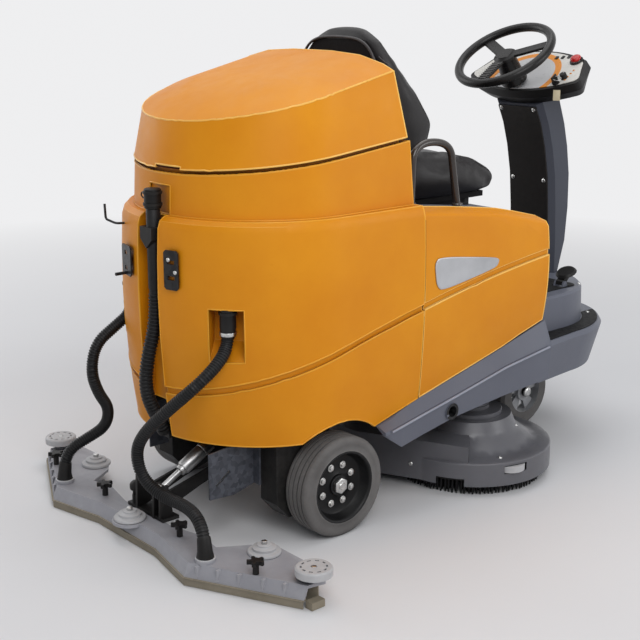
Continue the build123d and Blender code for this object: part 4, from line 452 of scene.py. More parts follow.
BLADE = Finish("blade_rubber", (146, 138, 122), (128, 120, 105), (0.5, 0.68), Grain.RUBBER,
               edge=(150, 136, 112), wear=0.3, cloud=8.0)
VINYL = Finish("seat_vinyl", (30, 28, 29), (23, 21, 22), (0.34, 0.46), Grain.VINYL,
               cloud=5.0, spec=0.3, depth=0.8)
BACKING = Finish("seat_back_cloth", (30, 28, 29), (21, 20, 21), (0.55, 0.75), Grain.VINYL,
                 cloud=160.0, spec=0.08)
PIPING = Finish("seat_piping", (70, 67, 68), (58, 55, 56), (0.28, 0.40), Grain.VINYL, cloud=20.0, depth=0.5)
BRISTLE = Finish("nylon_bristle", (20, 20, 21), (12, 12, 13), (0.4, 0.6), Grain.BRISTLE, cloud=30.0, spec=0.2)
CASE = Finish("battery_case", (62, 62, 66), (52, 52, 56), (0.45, 0.6), Grain.MOULDED, cloud=6.0)
TAG = Finish("blank_tag", (214, 202, 172), (200, 186, 154), (0.4, 0.55), Grain.MOULDED, cloud=30.0)
PLATE = Finish("bare_plate", (186, 187, 190), (166, 167, 170), (0.30, 0.42), Grain.BRUSHED,
               metal=0.75, cloud=6.0)
LENS = Finish("amber_lens", (214, 132, 24), (190, 108, 16), (0.12, 0.22), Grain.GLOSS, cloud=40.0, coat=0.5)
FACE = Finish("console_face", (216, 214, 208), (204, 202, 196), (0.25, 0.38), Grain.MOULDED,
              cloud=14.0, depth=0.4)
FACE_FIELD: Colour = (196, 196, 197)
FACE_CRESCENT: Colour = (222, 138, 34)
SWEEP = Finish("studio_sweep", (226, 226, 228), (222, 222, 224), (0.7, 0.8), Grain.POWDER, cloud=0.4)


class Bench:
    """Modelling steps, each as it would be done by hand."""

    DOUBLE = 0.00002
    CAD_DOUBLE = 0.00003
    FACING = 0.9

    @staticmethod
    def clear() -> None:
        """Leave edit mode and deselect everything."""
        if bpy.context.object and bpy.context.object.mode != "OBJECT":
            bpy.ops.object.mode_set(mode="OBJECT")
        bpy.ops.object.select_all(action="DESELECT")

    @staticmethod
    def hold(piece: Piece) -> None:
        """Make one piece the only selected and the active one.

        Args:
            piece: The piece.
        """
        Bench.clear()
        piece.select_set(True)
        bpy.context.view_layer.objects.active = piece

    @staticmethod
    @contextmanager
    def edit(piece: Piece, kind: str = "FACE") -> Iterator[None]:
        """Edit mode on one piece with nothing selected.

        Args:
            piece: Mesh to edit.
            kind: VERT, EDGE or FACE.

        Returns:
            A context that lasts as long as the edit.
        """
        Bench.hold(piece)
        bpy.ops.object.mode_set(mode="EDIT")
        bpy.ops.mesh.select_mode(type=kind)
        bpy.ops.mesh.select_all(action="DESELECT")
        yield
        bpy.ops.object.mode_set(mode="OBJECT")

    @staticmethod
    def pick(piece: Piece, test: Callable[[bmesh.types.BMFace], bool]) -> None:
        """Select, in edit mode, the faces that pass a test of place or normal.

        Args:
            piece: Mesh that is being edited.
            test: Tells whether a face is selected.
        """
        bpy.ops.mesh.select_all(action="DESELECT")
        shape = bmesh.from_edit_mesh(piece.data)
        for face in shape.faces:
            if test(face):
                face.select_set(True)
        shape.select_flush_mode()
        bmesh.update_edit_mesh(piece.data)

    @staticmethod
    def apply(piece: Piece, kind: str, **settings: object) -> None:
        """Add a modifier, set it and apply it.

        Args:
            piece: The piece.
            kind: Type of the modifier.
            settings: Its settings.
        """
        Bench.hold(piece)
        made = piece.modifiers.new(kind.lower(), kind)
        for name, value in settings.items():
            setattr(made, name, value)
        bpy.ops.object.modifier_apply(modifier=made.name)

    @staticmethod
    def seat(piece: Piece) -> None:
        """Put the piece's place, turn and scale into its mesh."""
        Bench.hold(piece)
        bpy.ops.object.transform_apply(location=True, rotation=True, scale=True)

    @staticmethod
    def turn(piece: Piece, way: Matrix) -> None:
        """Move a whole mesh by a matrix."""
        piece.data.transform(way)
        piece.data.update()

    @staticmethod
    def soften(piece: Piece, angle: float = 32.0) -> None:
        """Smooth shading up to an angle in degrees."""
        Bench.hold(piece)
        bpy.ops.object.shade_smooth_by_angle(angle=math.radians(angle))

    @staticmethod
    def round_edges(piece: Piece, width: float, segments: int = 2, angle: float = 34.0,
                    slot: int = -1) -> None:
        """Round the edges that are sharper than an angle in degrees, with the material in a slot."""
        Bench.apply(piece, "BEVEL", width=width, segments=segments, limit_method="ANGLE",
                    angle_limit=math.radians(angle), miter_outer="MITER_ARC", material=slot)

    @staticmethod
    def place_mesh(name: str, data: bpy.types.Mesh) -> Piece:
        """New piece in the scene.

        Args:
            name: Its name.
            data: Its mesh.

        Returns:
            The piece.
        """
        made = bpy.data.objects.new(name, data)
        bpy.context.scene.collection.objects.link(made)
        return made

    @staticmethod
    def clone(piece: Piece, name: str, way: Matrix) -> Piece:
        """Copy of a piece with its own mesh.

        Args:
            piece: The piece.
            name: Name of the copy.
            way: How the copy is moved.

        Returns:
            The copy.
        """
        made = Bench.place_mesh(name, piece.data.copy())
        Bench.turn(made, way)
        return made

    @staticmethod
    def merge(name: str, pieces: Sequence[Piece]) -> Piece:
        """Join several pieces into one.

        Args:
            name: Name of the whole.
            pieces: The pieces.

        Returns:
            The whole.
        """
        Bench.clear()
        for piece in pieces:
            piece.select_set(True)
        bpy.context.view_layer.objects.active = pieces[0]
        bpy.ops.object.join()
        pieces[0].name = name
        return pieces[0]

    @staticmethod
    def tidy(piece: Piece) -> None:
        """Merge doubled points and face everything outwards.

        Args:
            piece: The piece.
        """
        with Bench.edit(piece, "VERT"):
            bpy.ops.mesh.select_all(action="SELECT")
            bpy.ops.mesh.remove_doubles(threshold=Bench.DOUBLE)
            bpy.ops.mesh.normals_make_consistent(inside=False)

    @staticmethod
    def copy_of(node: Piece, name: str, flat: float = 0.6) -> Piece:
        """Merged copy of a CAD node, free of its body and of materials.

        Args:
            node: CAD node.
            name: Name of the copy.
            flat: Faces nearer to flat than this many degrees become one.

        Returns:
            The copy.
        """
        made = Bench.place_mesh(name, node.data.copy())
        with Bench.edit(made, "VERT"):
            bpy.ops.mesh.select_all(action="SELECT")
            bpy.ops.mesh.remove_doubles(threshold=Bench.CAD_DOUBLE)
            if flat:
                bpy.ops.mesh.dissolve_limited(angle_limit=math.radians(flat))
        made.data.materials.clear()
        return made

    @staticmethod
    def lathe(name: str, profile: Profile, centre: Point, axis: Point, steps: int) -> Piece:
        """Turned piece: a line drawn point by point and spun about an axis.

        Args:
            name: Name of the piece.
            profile: Radius and height along the axis at each point, in metres.
            centre: Place of height 0 on the axis.
            axis: Direction of the axis.
            steps: Steps round.

        Returns:
            The closed piece.
        """
        up = Vector(axis).normalized()
        out = up.orthogonal().normalized()
        spots = [Vector(centre) + out * r + up * h for r, h in profile]
        Bench.clear()
        bpy.ops.mesh.primitive_plane_add(size=0.01, location=spots[0])
        piece = bpy.context.object
        piece.name = name
        Bench.seat(piece)
        with Bench.edit(piece, "VERT"):
            bpy.ops.mesh.select_all(action="SELECT")
            bpy.ops.mesh.merge(type="CENTER")
            for before, here in zip(spots, spots[1:]):
                bpy.ops.mesh.extrude_vertices_move(TRANSFORM_OT_translate={"value": here - before})
            bpy.ops.mesh.select_all(action="SELECT")
            bpy.ops.mesh.spin(steps=steps, angle=2 * math.pi, center=Vector(centre), axis=up)
        Bench.tidy(piece)
        return piece

    @staticmethod
    def turned(name: str, profile: Profile, centre: Point, axis: Point = UP, steps: int = 40,
               smooth: float = ROUND_ANGLE) -> Piece:
        """Turned piece from millimetres, shaded smooth.

        Args:
            name: Name of the piece.
            profile: Radius and height along the axis at each point, in millimetres.
            centre: Place of height 0 on the axis, in millimetres.
            axis: Direction of the axis.
            steps: Steps round.
            smooth: Edges blunter than this many degrees are shaded smooth. 0 leaves all as they are.

        Returns:
            The closed piece.
        """
        piece = Bench.lathe(name, [mm(*point) for point in profile], mm(*centre), axis, steps)
        if smooth:
            Bench.soften(piece, smooth)
        return piece

    @staticmethod
    def prism(name: str, radius: float, height: float, centre: Point, axis: Point, edge: float) -> Piece:
        """Six-sided bolt head with a raised face and rounded edges.

        Args:
            name: Name of the piece.
            radius: Radius over the corners.
            height: Height along the axis.
            centre: Foot of the piece on the axis.
            axis: Direction of the axis.
            edge: Rounding of its edges.

        Returns:
            The piece.
        """
        up = Vector(axis).normalized()
        Bench.clear()
        bpy.ops.mesh.primitive_cylinder_add(vertices=6, radius=radius, depth=height,
                                            location=Vector(centre) + up * height / 2,
                                            rotation=up.to_track_quat("Z", "Y").to_euler())
        piece = bpy.context.object
        piece.name = name
        Bench.seat(piece)
        with Bench.edit(piece, "FACE"):
            Bench.pick(piece, lambda f: f.normal.dot(up) > Bench.FACING)
            bpy.ops.mesh.inset(thickness=radius * 0.18, depth=radius * 0.06)
        Bench.round_edges(piece, edge, 2)
        Bench.soften(piece)
        return piece

    @staticmethod
    def slab(name: str, size: Point, centre: Point, edge: float) -> Piece:
        """Block with rounded edges and an inset face.

        Args:
            name: Name of the piece.
            size: Lengths along X, Y and Z.
            centre: Middle of the block.
            edge: Rounding of the edges.

        Returns:
            The piece.
        """
        Bench.clear()
        bpy.ops.mesh.primitive_cube_add(size=1.0)
        piece = bpy.context.object
        piece.name = name
        piece.scale = size
        Bench.seat(piece)
        with Bench.edit(piece, "FACE"):
            Bench.pick(piece, lambda f: f.normal.z > Bench.FACING)
            bpy.ops.mesh.inset(thickness=min(size[0], size[1]) * 0.12, depth=-min(size) * 0.05)
        Bench.round_edges(piece, edge, 3)
        Bench.turn(piece, Matrix.Translation(Vector(centre)))
        Bench.soften(piece)
        return piece


class Line:
    """Smooth line through a route's NURBS spline."""

    TUBE_ANGLE = 50.0

    def __init__(self, route: Points, fine: int = 24) -> None:
        """Draw the spline and read the points along it.

        Args:
            route: Control points in millimetres.
            fine: Points read between two control points.
        """
        curve = bpy.data.curves.new("route", "CURVE")
        curve.dimensions = "3D"
        spline = curve.splines.new("NURBS")
        spline.points.add(len(route) - 1)
        for point, spot in zip(spline.points, route):
            point.co = (*mm(*spot), 1.0)
        spline.order_u = 3
        spline.use_endpoint_u = True
        spline.resolution_u = fine
        holder = bpy.data.objects.new("route", curve)
        bpy.context.scene.collection.objects.link(holder)
        read = bpy.data.meshes.new_from_object(holder)
        self.points = [v.co.copy() for v in read.vertices]
        bpy.data.objects.remove(holder)
        bpy.data.meshes.remove(read)
        self.measure()

    @classmethod
    def through(cls, points: Sequence[Vector]) -> Line:
        """Line straight through points.

        Args:
            points: The points in metres.

        Returns:
            The line.
        """
        made = cls.__new__(cls)
        made.points = [Vector(p) for p in points]
        made.measure()
        return made

    def measure(self) -> None:
        """Note the distance along the line at each point."""
        self.marks = [0.0]
        for before, here in zip(self.points, self.points[1:]):
            self.marks.append(self.marks[-1] + (here - before).length)
        self.length = self.marks[-1]

    def at(self, along: float) -> tuple[Vector, Vector]:
        """Place and direction on the line.

        Args:
            along: Distance from its start.

        Returns:
            Place and direction.
        """
        along = min(max(along, 0.0), self.length)
        k = next((i for i, mark in enumerate(self.marks[1:]) if mark >= along), len(self.marks) - 2)
        step = self.marks[k + 1] - self.marks[k] or 1e-9
        share = (along - self.marks[k]) / step
        ahead = self.points[min(k + 2, len(self.points) - 1)]
        behind = self.points[max(k - 1, 0)]
        return self.points[k].lerp(self.points[k + 1], share), (ahead - behind).normalized()

    def tube(self, name: str, rings: Profile, sides: int) -> Piece:
        """Closed tube along the line.

        Args:
            name: Name of the piece.
            rings: Distance along the line and radius of each ring.
            sides: Points round each ring.

        Returns:
            The tube.
        """
        shape = bmesh.new()
        across = self.at(rings[0][0])[1].orthogonal().normalized()
        rows = []
        for along, radius in rings:
            spot, ahead = self.at(along)
            across = (across - ahead * across.dot(ahead)).normalized()
            other = ahead.cross(across)
            rows.append([shape.verts.new(spot + (across * math.cos(a) + other * math.sin(a)) * radius)
                         for a in (2 * math.pi * k / sides for k in range(sides))])
        for low, high in zip(rows, rows[1:]):
            for k in range(sides):
                shape.faces.new((low[k], low[(k + 1) % sides], high[(k + 1) % sides], high[k]))
        shape.faces.new(list(reversed(rows[0])))
        shape.faces.new(rows[-1])
        data = bpy.data.meshes.new(name)
        shape.to_mesh(data)
        shape.free()
        piece = Bench.place_mesh(name, data)
        Bench.soften(piece, self.TUBE_ANGLE)
        return piece

    def bead(self, name: str, radius: float, count: int, sides: int) -> Piece:
        """Closed tube of one radius, in a number of equal steps."""
        return self.tube(name, [(self.length * k / count, radius) for k in range(count + 1)], sides)

    def even_bead(self, name: str, radius: float, step: float, sides: int) -> Piece:
        """Closed tube of one radius, in steps of about one length."""
        return self.bead(name, radius, int(self.length / step), sides)


class Probe:
    """Finds the surface of pieces along a ray."""

    def __init__(self, *pieces: Piece) -> None:
        """Read the meshes.

        Args:
            pieces: Pieces whose surface is searched.
        """
        spots: list[Vector] = []
        faces: list[list[int]] = []
        for piece in pieces:
            faces += [[k + len(spots) for k in p.vertices] for p in piece.data.polygons]
            spots += [v.co for v in piece.data.vertices]
        self.tree = BVHTree.FromPolygons(spots, faces)

    def hit(self, start: Point, way: Point) -> tuple[Vector, Vector]:
        """Place and outward normal where a ray meets the surface.

        Args:
            start: Start of the ray.
            way: Direction of the ray.

        Returns:
            Place and normal.
        """
        spot, normal, _, _ = self.tree.ray_cast(Vector(start), Vector(way).normalized())
        if spot is None:
            raise ValueError(f"nothing met from {tuple(start)}")
        return spot, normal if normal.dot(Vector(way)) < 0 else -normal

    def spots(self, starts: Points, way: Point) -> list[Vector]:
        """Places where rays in one direction meet the surface."""
        return [self.hit(start, way)[0] for start in starts]


@dataclass
class Shop:
    """The loaded frame and what every sub-assembly shares.

    Attributes:
        screw_head: Section of a screw's head, as shares of its radius and heights in metres.
        bead_sink: How deep an edge bead lies in its node, as a share of its radius.
    """

    frame: dict
    screw_head: Profile = (
        (0.98, -0.001), (1.0, 0.0006), (0.8, 0.0022), (0.45, 0.003), (0.4, 0.0022), (0.0, 0.0022))
    bead_sink: float = 0.6

    def body_of(self, node: str) -> str:
        """Body that holds a node."""
        return next(b for b, nodes in self.frame["record"]["behaviour"]["bodies"].items() if node in nodes)

    def dress(self, piece: Piece, finish: Finish, node: str, *stands_for: str, body: str = "") -> Piece:
        """Finish a piece and hang it on its body.

        Args:
            piece: The piece.
            finish: Its finish, unless it has materials already.
            node: CAD node whose body it takes.
            stands_for: CAD nodes that it replaces.
            body: Another body to ride on.

        Returns:
            The piece.
        """
        if not piece.data.materials:
            piece.data.materials.append(finish.material())
        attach(piece, body or self.body_of(node))
        if stands_for:
            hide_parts(*stands_for)
        return self.note(piece)

    def note(self, piece: Piece) -> Piece:
        """Report a finished piece and give it back."""
        LOG.info("%s: %d faces", piece.name, len(piece.data.polygons))
        return piece

    def refine(self, node: str, finish: Finish, width: float, segments: int = 2, angle: float = 34.0,
               smooth: float = 32.0, rim: Finish | None = None, flat: float = 0.6) -> Piece:
        """Rounded, smoothly shaded copy of a CAD node in its place.

        Args:
            node: CAD node.
            finish: Its finish.
            width: Rounding of its edges in metres.
            segments: Steps of the rounding.
            angle: Edges sharper than this many degrees are rounded.
            smooth: Edges blunter than this many degrees are shaded smooth.
            rim: Finish of the rounded edges, where it differs; a lighter one paints a highlight along them.
            flat: Faces nearer to flat than this many degrees become one.

        Returns:
            The copy.
        """
        piece = Bench.copy_of(self.frame["nodes"][node], f"{node}_skin", flat)
        for each in (finish, rim):
            if each:
                piece.data.materials.append(each.material())
        # The rounded edges take the rim finish; a lighter rim paints a highlight along them.
        Bench.round_edges(piece, width, segments, angle, 1 if rim else -1)
        Bench.soften(piece, smooth)
        Bench.apply(piece, "WEIGHTED_NORMAL", keep_sharp=True, weight=80)
        return self.dress(piece, finish, node, node)

    def edge_beads(self, node: str, radius: float, finish: Finish, angle: float, behind: float) -> None:
        """Rounded bead along the sharp outer edges of a CAD node, whose lighter finish paints a highlight
        there.

        Args:
            node: CAD node.
            radius: Radius of the bead.
            finish: Its finish.
            angle: Edges sharper than this many degrees get the bead.
            behind: Edges behind this X in metres get none.
        """
        piece = Bench.copy_of(self.frame["nodes"][node], f"{node}_beads")
        middle = sum((v.co for v in piece.data.vertices), Vector()) / len(piece.data.vertices)
        shape = bmesh.new()
        shape.from_mesh(piece.data)
        drop = []
        for edge in shape.edges:
            sharp = edge.is_manifold and edge.is_convex and edge.calc_face_angle() > math.radians(angle)
            lean = sum((f.normal for f in edge.link_faces), Vector())
            spot = (edge.verts[0].co + edge.verts[1].co) / 2
            if not sharp or lean.dot(spot - middle) < 0 or spot.x < behind:
                drop.append(edge)
        for vert in shape.verts:
            vert.co -= vert.normal * radius * self.bead_sink
        bmesh.ops.delete(shape, geom=drop, context="EDGES")
        bmesh.ops.delete(shape, geom=shape.faces[:], context="FACES_ONLY")
        shape.to_mesh(piece.data)
        shape.free()
        Bench.hold(piece)
        bpy.ops.object.convert(target="CURVE")
        piece.data.bevel_depth = radius
        piece.data.bevel_resolution = 1
        piece.data.use_fill_caps = True
        bpy.ops.object.convert(target="MESH")
        Bench.soften(piece, 60.0)
        self.dress(piece, finish, node)

    def screws(self, name: str, probe: Probe, rays: Sequence[tuple[Point, Point]], body: str,
               radius: float) -> None:
        """Bright screws set on a surface where rays meet it.

        Args:
            name: Name of the set.
            probe: What they sit on.
            rays: Start and direction of each ray.
            body: Body that they ride on.
            radius: Radius of a head.
        """
        dome = [(radius * share, rise) for share, rise in self.screw_head]
        heads = [Bench.lathe("screw", dome, *probe.hit(start, way), 20) for start, way in rays]
        made = Bench.merge(name, heads)
        Bench.soften(made, 50.0)
        self.dress(made, BOLT, "rear_brackets", body=body)


def paint(piece: Piece, finish: Finish, test: Callable[[Vector], bool]) -> None:
    """Give a finish to the faces whose middle passes a test of place.

    Args:
        piece: Mesh to paint.
        finish: Finish that is added to it.
        test: Tells whether a face's middle gets it.
    """
    piece.data.materials.append(finish.material())
    for face in piece.data.polygons:
        if test(face.center):
            face.material_index = len(piece.data.materials) - 1


def paint_rings(piece: Piece, centre: Point, axis: Point, bands: Sequence[tuple[float, Finish]]) -> None:
    """Give each face the finish of the ring that it lies in.

    Args:
        piece: Mesh to paint.
        centre: Point on the axis.
        axis: Direction of the axis.
        bands: Outer radius and finish of each ring, from the inside out.
    """
    piece.data.materials.clear()
    for _, finish in bands:
        piece.data.materials.append(finish.material())
    way = Vector(axis).normalized()
    for face in piece.data.polygons:
        arm = face.center - Vector(centre)
        reach = (arm - way * arm.dot(way)).length
        face.material_index = next(k for k, (limit, _) in enumerate(bands) if reach < limit)


def mirrored(half: Points) -> list[Point]:
    """Closed outline from its half, mirrored about the first coordinate's zero."""
    return [*half, *[(-a, b) for a, b in reversed(half[1:-1])]]


def dense(outline: Points, step: float = 5.0) -> list[Point]:
    """Points along the smooth spline that a closed outline's points control.

    Args:
        outline: The points in millimetres.
        step: Distance between two points.

    Returns:
        The points in millimetres.
    """
    line = Line([(a, b, 0.0) for a, b in [*outline, outline[0]]], 16)
    count = int(line.length * 1000 / step)
    spots = [line.at(line.length * k / count)[0] * 1000 for k in range(count)]
    return [(s.x, s.y) for s in spots]


@dataclass
class Studio:
    """Camera at the photograph's angle, soft lamps and a pale floor.

    Attributes:
        heading: The camera's direction from X towards Y in degrees.
        dip: How far it looks down in degrees.
        lamps: Name, place, aim, size and power of each lamp.
        fade: Distances between which the floor turns into the background.
    """

    eye: Point = (-2.67833, -2.86543, 1.53168)
    heading: float = 48.94
    dip: float = 14.81
    lens: float = 70.07
    sensor: float = 36.0
    picture: int = 640
    lamps: tuple[tuple[str, Point, Point, float, float], ...] = (
        ("key", (-2.4, -4.2, 4.2), (0.0, 0.0, 0.6), 3.4, 143.0),
        ("top", (0.2, 0.4, 4.6), (0.0, 0.0, 0.5), 4.0, 86.0),
        ("side", (2.6, -4.2, 2.2), (0.1, 0.0, 0.5), 2.4, 50.0),
        ("back", (-1.5, 4.4, 2.6), (-0.2, 0.0, 0.6), 3.0, 46.0))
    pale: Four = (0.86, 0.86, 0.87, 1.0)
    sky: Four = (0.80, 0.82, 0.86, 1.0)
    sky_power: float = 0.30
    floor_size: float = 60.0
    fade: Pair = (1.6, 5.0)

    def build(self) -> None:
        """Make camera, lamps, world and floor."""
        self.camera()
        for lamp in self.lamps:
            self.lamp(*lamp)
        self.world()
        self.floor()
        bpy.context.scene.view_settings.view_transform = "Standard"

    def ahead(self) -> Vector:
        """Direction in which the camera looks.

        Returns:
            The direction.
        """
        phi, dip = math.radians(self.heading), math.radians(self.dip)
        return Vector((math.cos(phi) * math.cos(dip), math.sin(phi) * math.cos(dip), -math.sin(dip)))

    def camera(self) -> None:
        """Place the camera."""
        data = bpy.data.cameras.new("camera")
        data.lens = self.lens
        data.sensor_width = self.sensor
        holder = bpy.data.objects.new("camera", data)
        holder.location = self.eye
        holder.rotation_euler = self.ahead().to_track_quat("-Z", "Y").to_euler()
        bpy.context.scene.collection.objects.link(holder)
        bpy.context.scene.camera = holder

    def sight(self, pixel: Point) -> Vector:
        """Direction of the ray through a pixel.

        Args:
            pixel: Its place across and down the picture.

        Returns:
            The direction.
        """
        ahead = self.ahead()
        right = ahead.cross(Vector((0, 0, 1))).normalized()
        across, down = (place - self.picture / 2 for place in pixel)
        far = self.picture * self.lens / self.sensor
        return (ahead * far + right * across - right.cross(ahead) * down).normalized()

    def lamp(self, name: str, spot: Point, aim: Point, size: float, power: float) -> None:
        """Soft square lamp turned towards a point.

        Args:
            name: Name of the lamp.
            spot: Its place.
            aim: Point that it is turned towards.
            size: Its width.
            power: Its power in watts.
        """
        data = bpy.data.lights.new(name, "AREA")
        data.size = size
        data.energy = power
        holder = bpy.data.objects.new(name, data)
        holder.location = spot
        holder.rotation_euler = (Vector(aim) - Vector(spot)).to_track_quat("-Z", "Y").to_euler()
        bpy.context.scene.collection.objects.link(holder)

    def world(self) -> None:
        """Dim sky for the object, pale for the camera and reflections."""
        world = bpy.data.worlds.new("studio")
        bpy.context.scene.world = world
        world.use_nodes = True
        tree = world.node_tree
        tree.nodes.clear()
        dim = tree.nodes.new("ShaderNodeBackground")
        dim.inputs["Color"].default_value = self.sky
        dim.inputs["Strength"].default_value = self.sky_power
        bright = tree.nodes.new("ShaderNodeBackground")
        bright.inputs["Color"].default_value = self.pale
        path = tree.nodes.new("ShaderNodeLightPath")
        pick = tree.nodes.new("ShaderNodeMixShader")
        out = tree.nodes.new("ShaderNodeOutputWorld")
        seen = path.outputs["Is Camera Ray"]
        for kind in ("Is Glossy Ray", "Is Transmission Ray"):
            either = tree.nodes.new("ShaderNodeMath")
            either.operation = "MAXIMUM"
            tree.links.new(seen, either.inputs[0])
            tree.links.new(path.outputs[kind], either.inputs[1])
            seen = either.outputs[0]
        tree.links.new(seen, pick.inputs["Fac"])
        tree.links.new(dim.outputs["Background"], pick.inputs[1])
        tree.links.new(bright.outputs["Background"], pick.inputs[2])
        tree.links.new(pick.outputs["Shader"], out.inputs["Surface"])

    def floor(self) -> None:
        """Wide pale floor that fades into the background."""
        Bench.clear()
        bpy.ops.mesh.primitive_grid_add(x_subdivisions=8, y_subdivisions=8, size=self.floor_size)
        floor = bpy.context.object
        floor.name = "studio_floor"
        dye = Dye(SWEEP)
        far = dye.vector_step("LENGTH", dye.place)
        near = dye.shader(dye.colour())
        glow = dye.node("ShaderNodeEmission", Color=self.pale)
        fade = dye.node("ShaderNodeMixShader")
        out = dye.node("ShaderNodeOutputMaterial")
        dye.join(dye.ranged(far.outputs["Value"], self.fade), fade.inputs["Fac"])
        dye.join(near.outputs["BSDF"], fade.inputs[1])
        dye.join(glow.outputs["Emission"], fade.inputs[2])
        dye.join(fade.outputs["Shader"], out.inputs["Surface"])
        floor.data.materials.append(dye.made)


@dataclass
class Assembly:
    """Sub-assembly whose sizes are its fields, in millimetres where nothing else is said.

    A Profile is the section of a turned piece or tube. Fields whose names say it all have no note.

    Attributes:
        shop: What the sub-assemblies share.
    """

    shop: Shop


@dataclass
class Bodywork(Assembly):
    """Tanks, lid, panels, hood, cowl, step pads and two bare plates.

    Attributes:
        plate: X and Z of a bare plate's corners.
        plate_draw: How far its corners are drawn in.
        beads: Node, finish, least angle and rearmost X of each edge bead, a lighter bead painting a
            highlight.
        bead_radius: Radius of the beads, in metres.
        parting: Height at X 0 and slope of the lid's parting line, in metres.
        tank_middle: X and Z of a point inside the upper tank, in metres.
        rim_under: How far under the parting line its wall is met, in metres.
        lid_gasket: Inset, rise over the parting line and radius of the dark strip that paints the shade in
            the lid's gap, in metres.
        gasket_rays: Rays that find its route.
        ray_start: How far out they start, in metres.
        gap: X, lowest and highest Z of the gap beside the tank.
        gap_start: How far behind it and from the middle its rays start.
        gap_gasket: Depth in it and radius of the dark strip that paints the shade in the gap, in metres.
        tie_paint: Radius of the tie hole and its least Y, in metres, for painting the shade inside it.
        sleeve: Outer and inner radius, start and depth of the dark tube that paints the shade in the tie
            hole.
        skirt: X of its rear end, and its length.
        ridge_line: Share of that length and Z along the ridge.
        ridge_radius: Radius of the ridge's bead, which paints a highlight on it, in metres.
    """

    plate: Points = ((-100, 784), (189, 744), (177, 714), (-86, 674))
    plate_draw: float = 0.22
    beads: tuple[tuple[str, Finish, float, float], ...] = (
        ("lid", ORANGE_HIGHLIGHT, 28.0, BEHIND_ALL), ("upper_tank", ORANGE_SOFT_HIGHLIGHT, 40.0, BEHIND_ALL),
        ("rear_tank", ORANGE_SOFT_HIGHLIGHT, 42.0, BEHIND_ALL), ("side_panel_right", ORANGE_HIGHLIGHT, 42.0, -0.125),
        ("side_panel_left", ORANGE_HIGHLIGHT, 42.0, -0.125))
    bead_radius: float = 0.0026
    parting: Pair = (1.15245, 0.115)
    tank_middle: Pair = (-0.44, 1.03)
    rim_under: float = 0.020
    lid_gasket: Triple = (0.0085, 0.0065, 0.0062)
    gasket_rays: int = 128
    ray_start: float = 0.9
    gap: Triple = (-137.5, 372.0, 896.0)
    gap_start: Pair = (10.0, 600.0)
    gap_gasket: Pair = (0.0046, 0.0038)
    tie: Pair = (-21.0, 297.0)
    tie_paint: Pair = (0.01708, 0.35)
    sleeve: Four = (18.6, 17.2, 421.0, 60.0)
    skirt: Pair = (-300.0, 744.0)
    ridge_line: Points = (
        (0.03, 292), (0.098, 301.5), (0.206, 317.5), (0.4, 344.5), (0.7, 389.5), (0.98, 416))
    ridge_side: float = 430.4
    ridge_radius: float = 0.0036
    pad_screws: Points = ((468, 390), (845, 263), (780, 270))

    def build(self) -> None:
        """Make the bodywork."""
        # The lighter rim finish paints a highlight along the rounded edges.
        shell = {"segments": 3, "angle": 24.0, "smooth": ROUND_ANGLE, "rim": ORANGE_HIGHLIGHT}
        self.shop.refine("lid", ORANGE, 0.006, **shell)
        upper = self.shop.refine("upper_tank", ORANGE, 0.005, **shell)
        tank = Probe(self.shop.refine("rear_tank", ORANGE, 0.005, **shell))
        # A dark strip paints the shade in the lid's gap.
        self.rim_seal(Probe(upper))
        # Lighter beads on the sharp edges paint a highlight along them.
        for node, finish, angle, behind in self.beads:
            self.shop.edge_beads(node, self.bead_radius, finish, angle, behind)
        for side in Side:
            panel = self.shop.refine(f"side_panel_{side}", ORANGE, 0.006, **(shell | {"angle": 40.0}))
            self.badge(side, panel)
            # A dark strip paints the shade in each panel's gap.
            self.gap_seal(side, tank)
        self.shop.refine("battery_hood", SKIRT, 0.003)
        # The skirt's rounded edges get a lighter finish as a painted highlight.
        cowl = self.shop.refine("lower_cowl", SKIRT, 0.004, 3, 30.0, 36.0, SKIRT_HIGHLIGHT)
        pads = self.shop.refine("step_pads", PAD, 0.001)
        (x, z), (hole, outside) = mm(*self.tie), self.tie_paint
        # The tie hole's inner faces are painted black as its shade.
        paint(cowl, RIM, lambda spot: math.hypot(spot.x - x, spot.z - z) < hole and abs(spot.y) > outside)
        rays = [((*mm(ahead, side.value * aside), self.ray_start), (0, 0, -1))
                for ahead, aside in self.pad_screws for side in Side]
        self.shop.screws("step_screws", Probe(pads, cowl), rays, "frame", 0.007)
        for side in Side:
            self.ridge(side)
            # A dark tube paints the shade inside each tie hole.
            self.tie_sleeve(side)

    def rim_seal(self, skin: Probe) -> None:
        """Dark strip round the upper tank, inside the parting line, that paints the shade in the lid's gap.

        The rim slopes, so a ray at a low height finds the wall before one just under the rim.

        Args:
            skin: Probe on the upper tank.
        """
        base, slope = self.parting
        middle, low = self.tank_middle
        inset, above, radius = self.lid_gasket
        ring = []
        for k in range(self.gasket_rays + 1):
            turn = 2 * math.pi * k / self.gasket_rays
            way = Vector((math.cos(turn), math.sin(turn), 0.0))
            start = Vector((middle, 0, low)) + way * self.ray_start
            rough, _ = skin.hit(start, -way)
            start.z = base + slope * rough.x - self.rim_under
            spot, _ = skin.hit(start, -way)
            ring.append(Vector((spot.x, spot.y, base + slope * spot.x + above)) - way * inset)
        self.shop.dress(Line.through(ring).bead("lid_gasket", radius, 240, 10), GAP_SHADE, "lower_cowl")

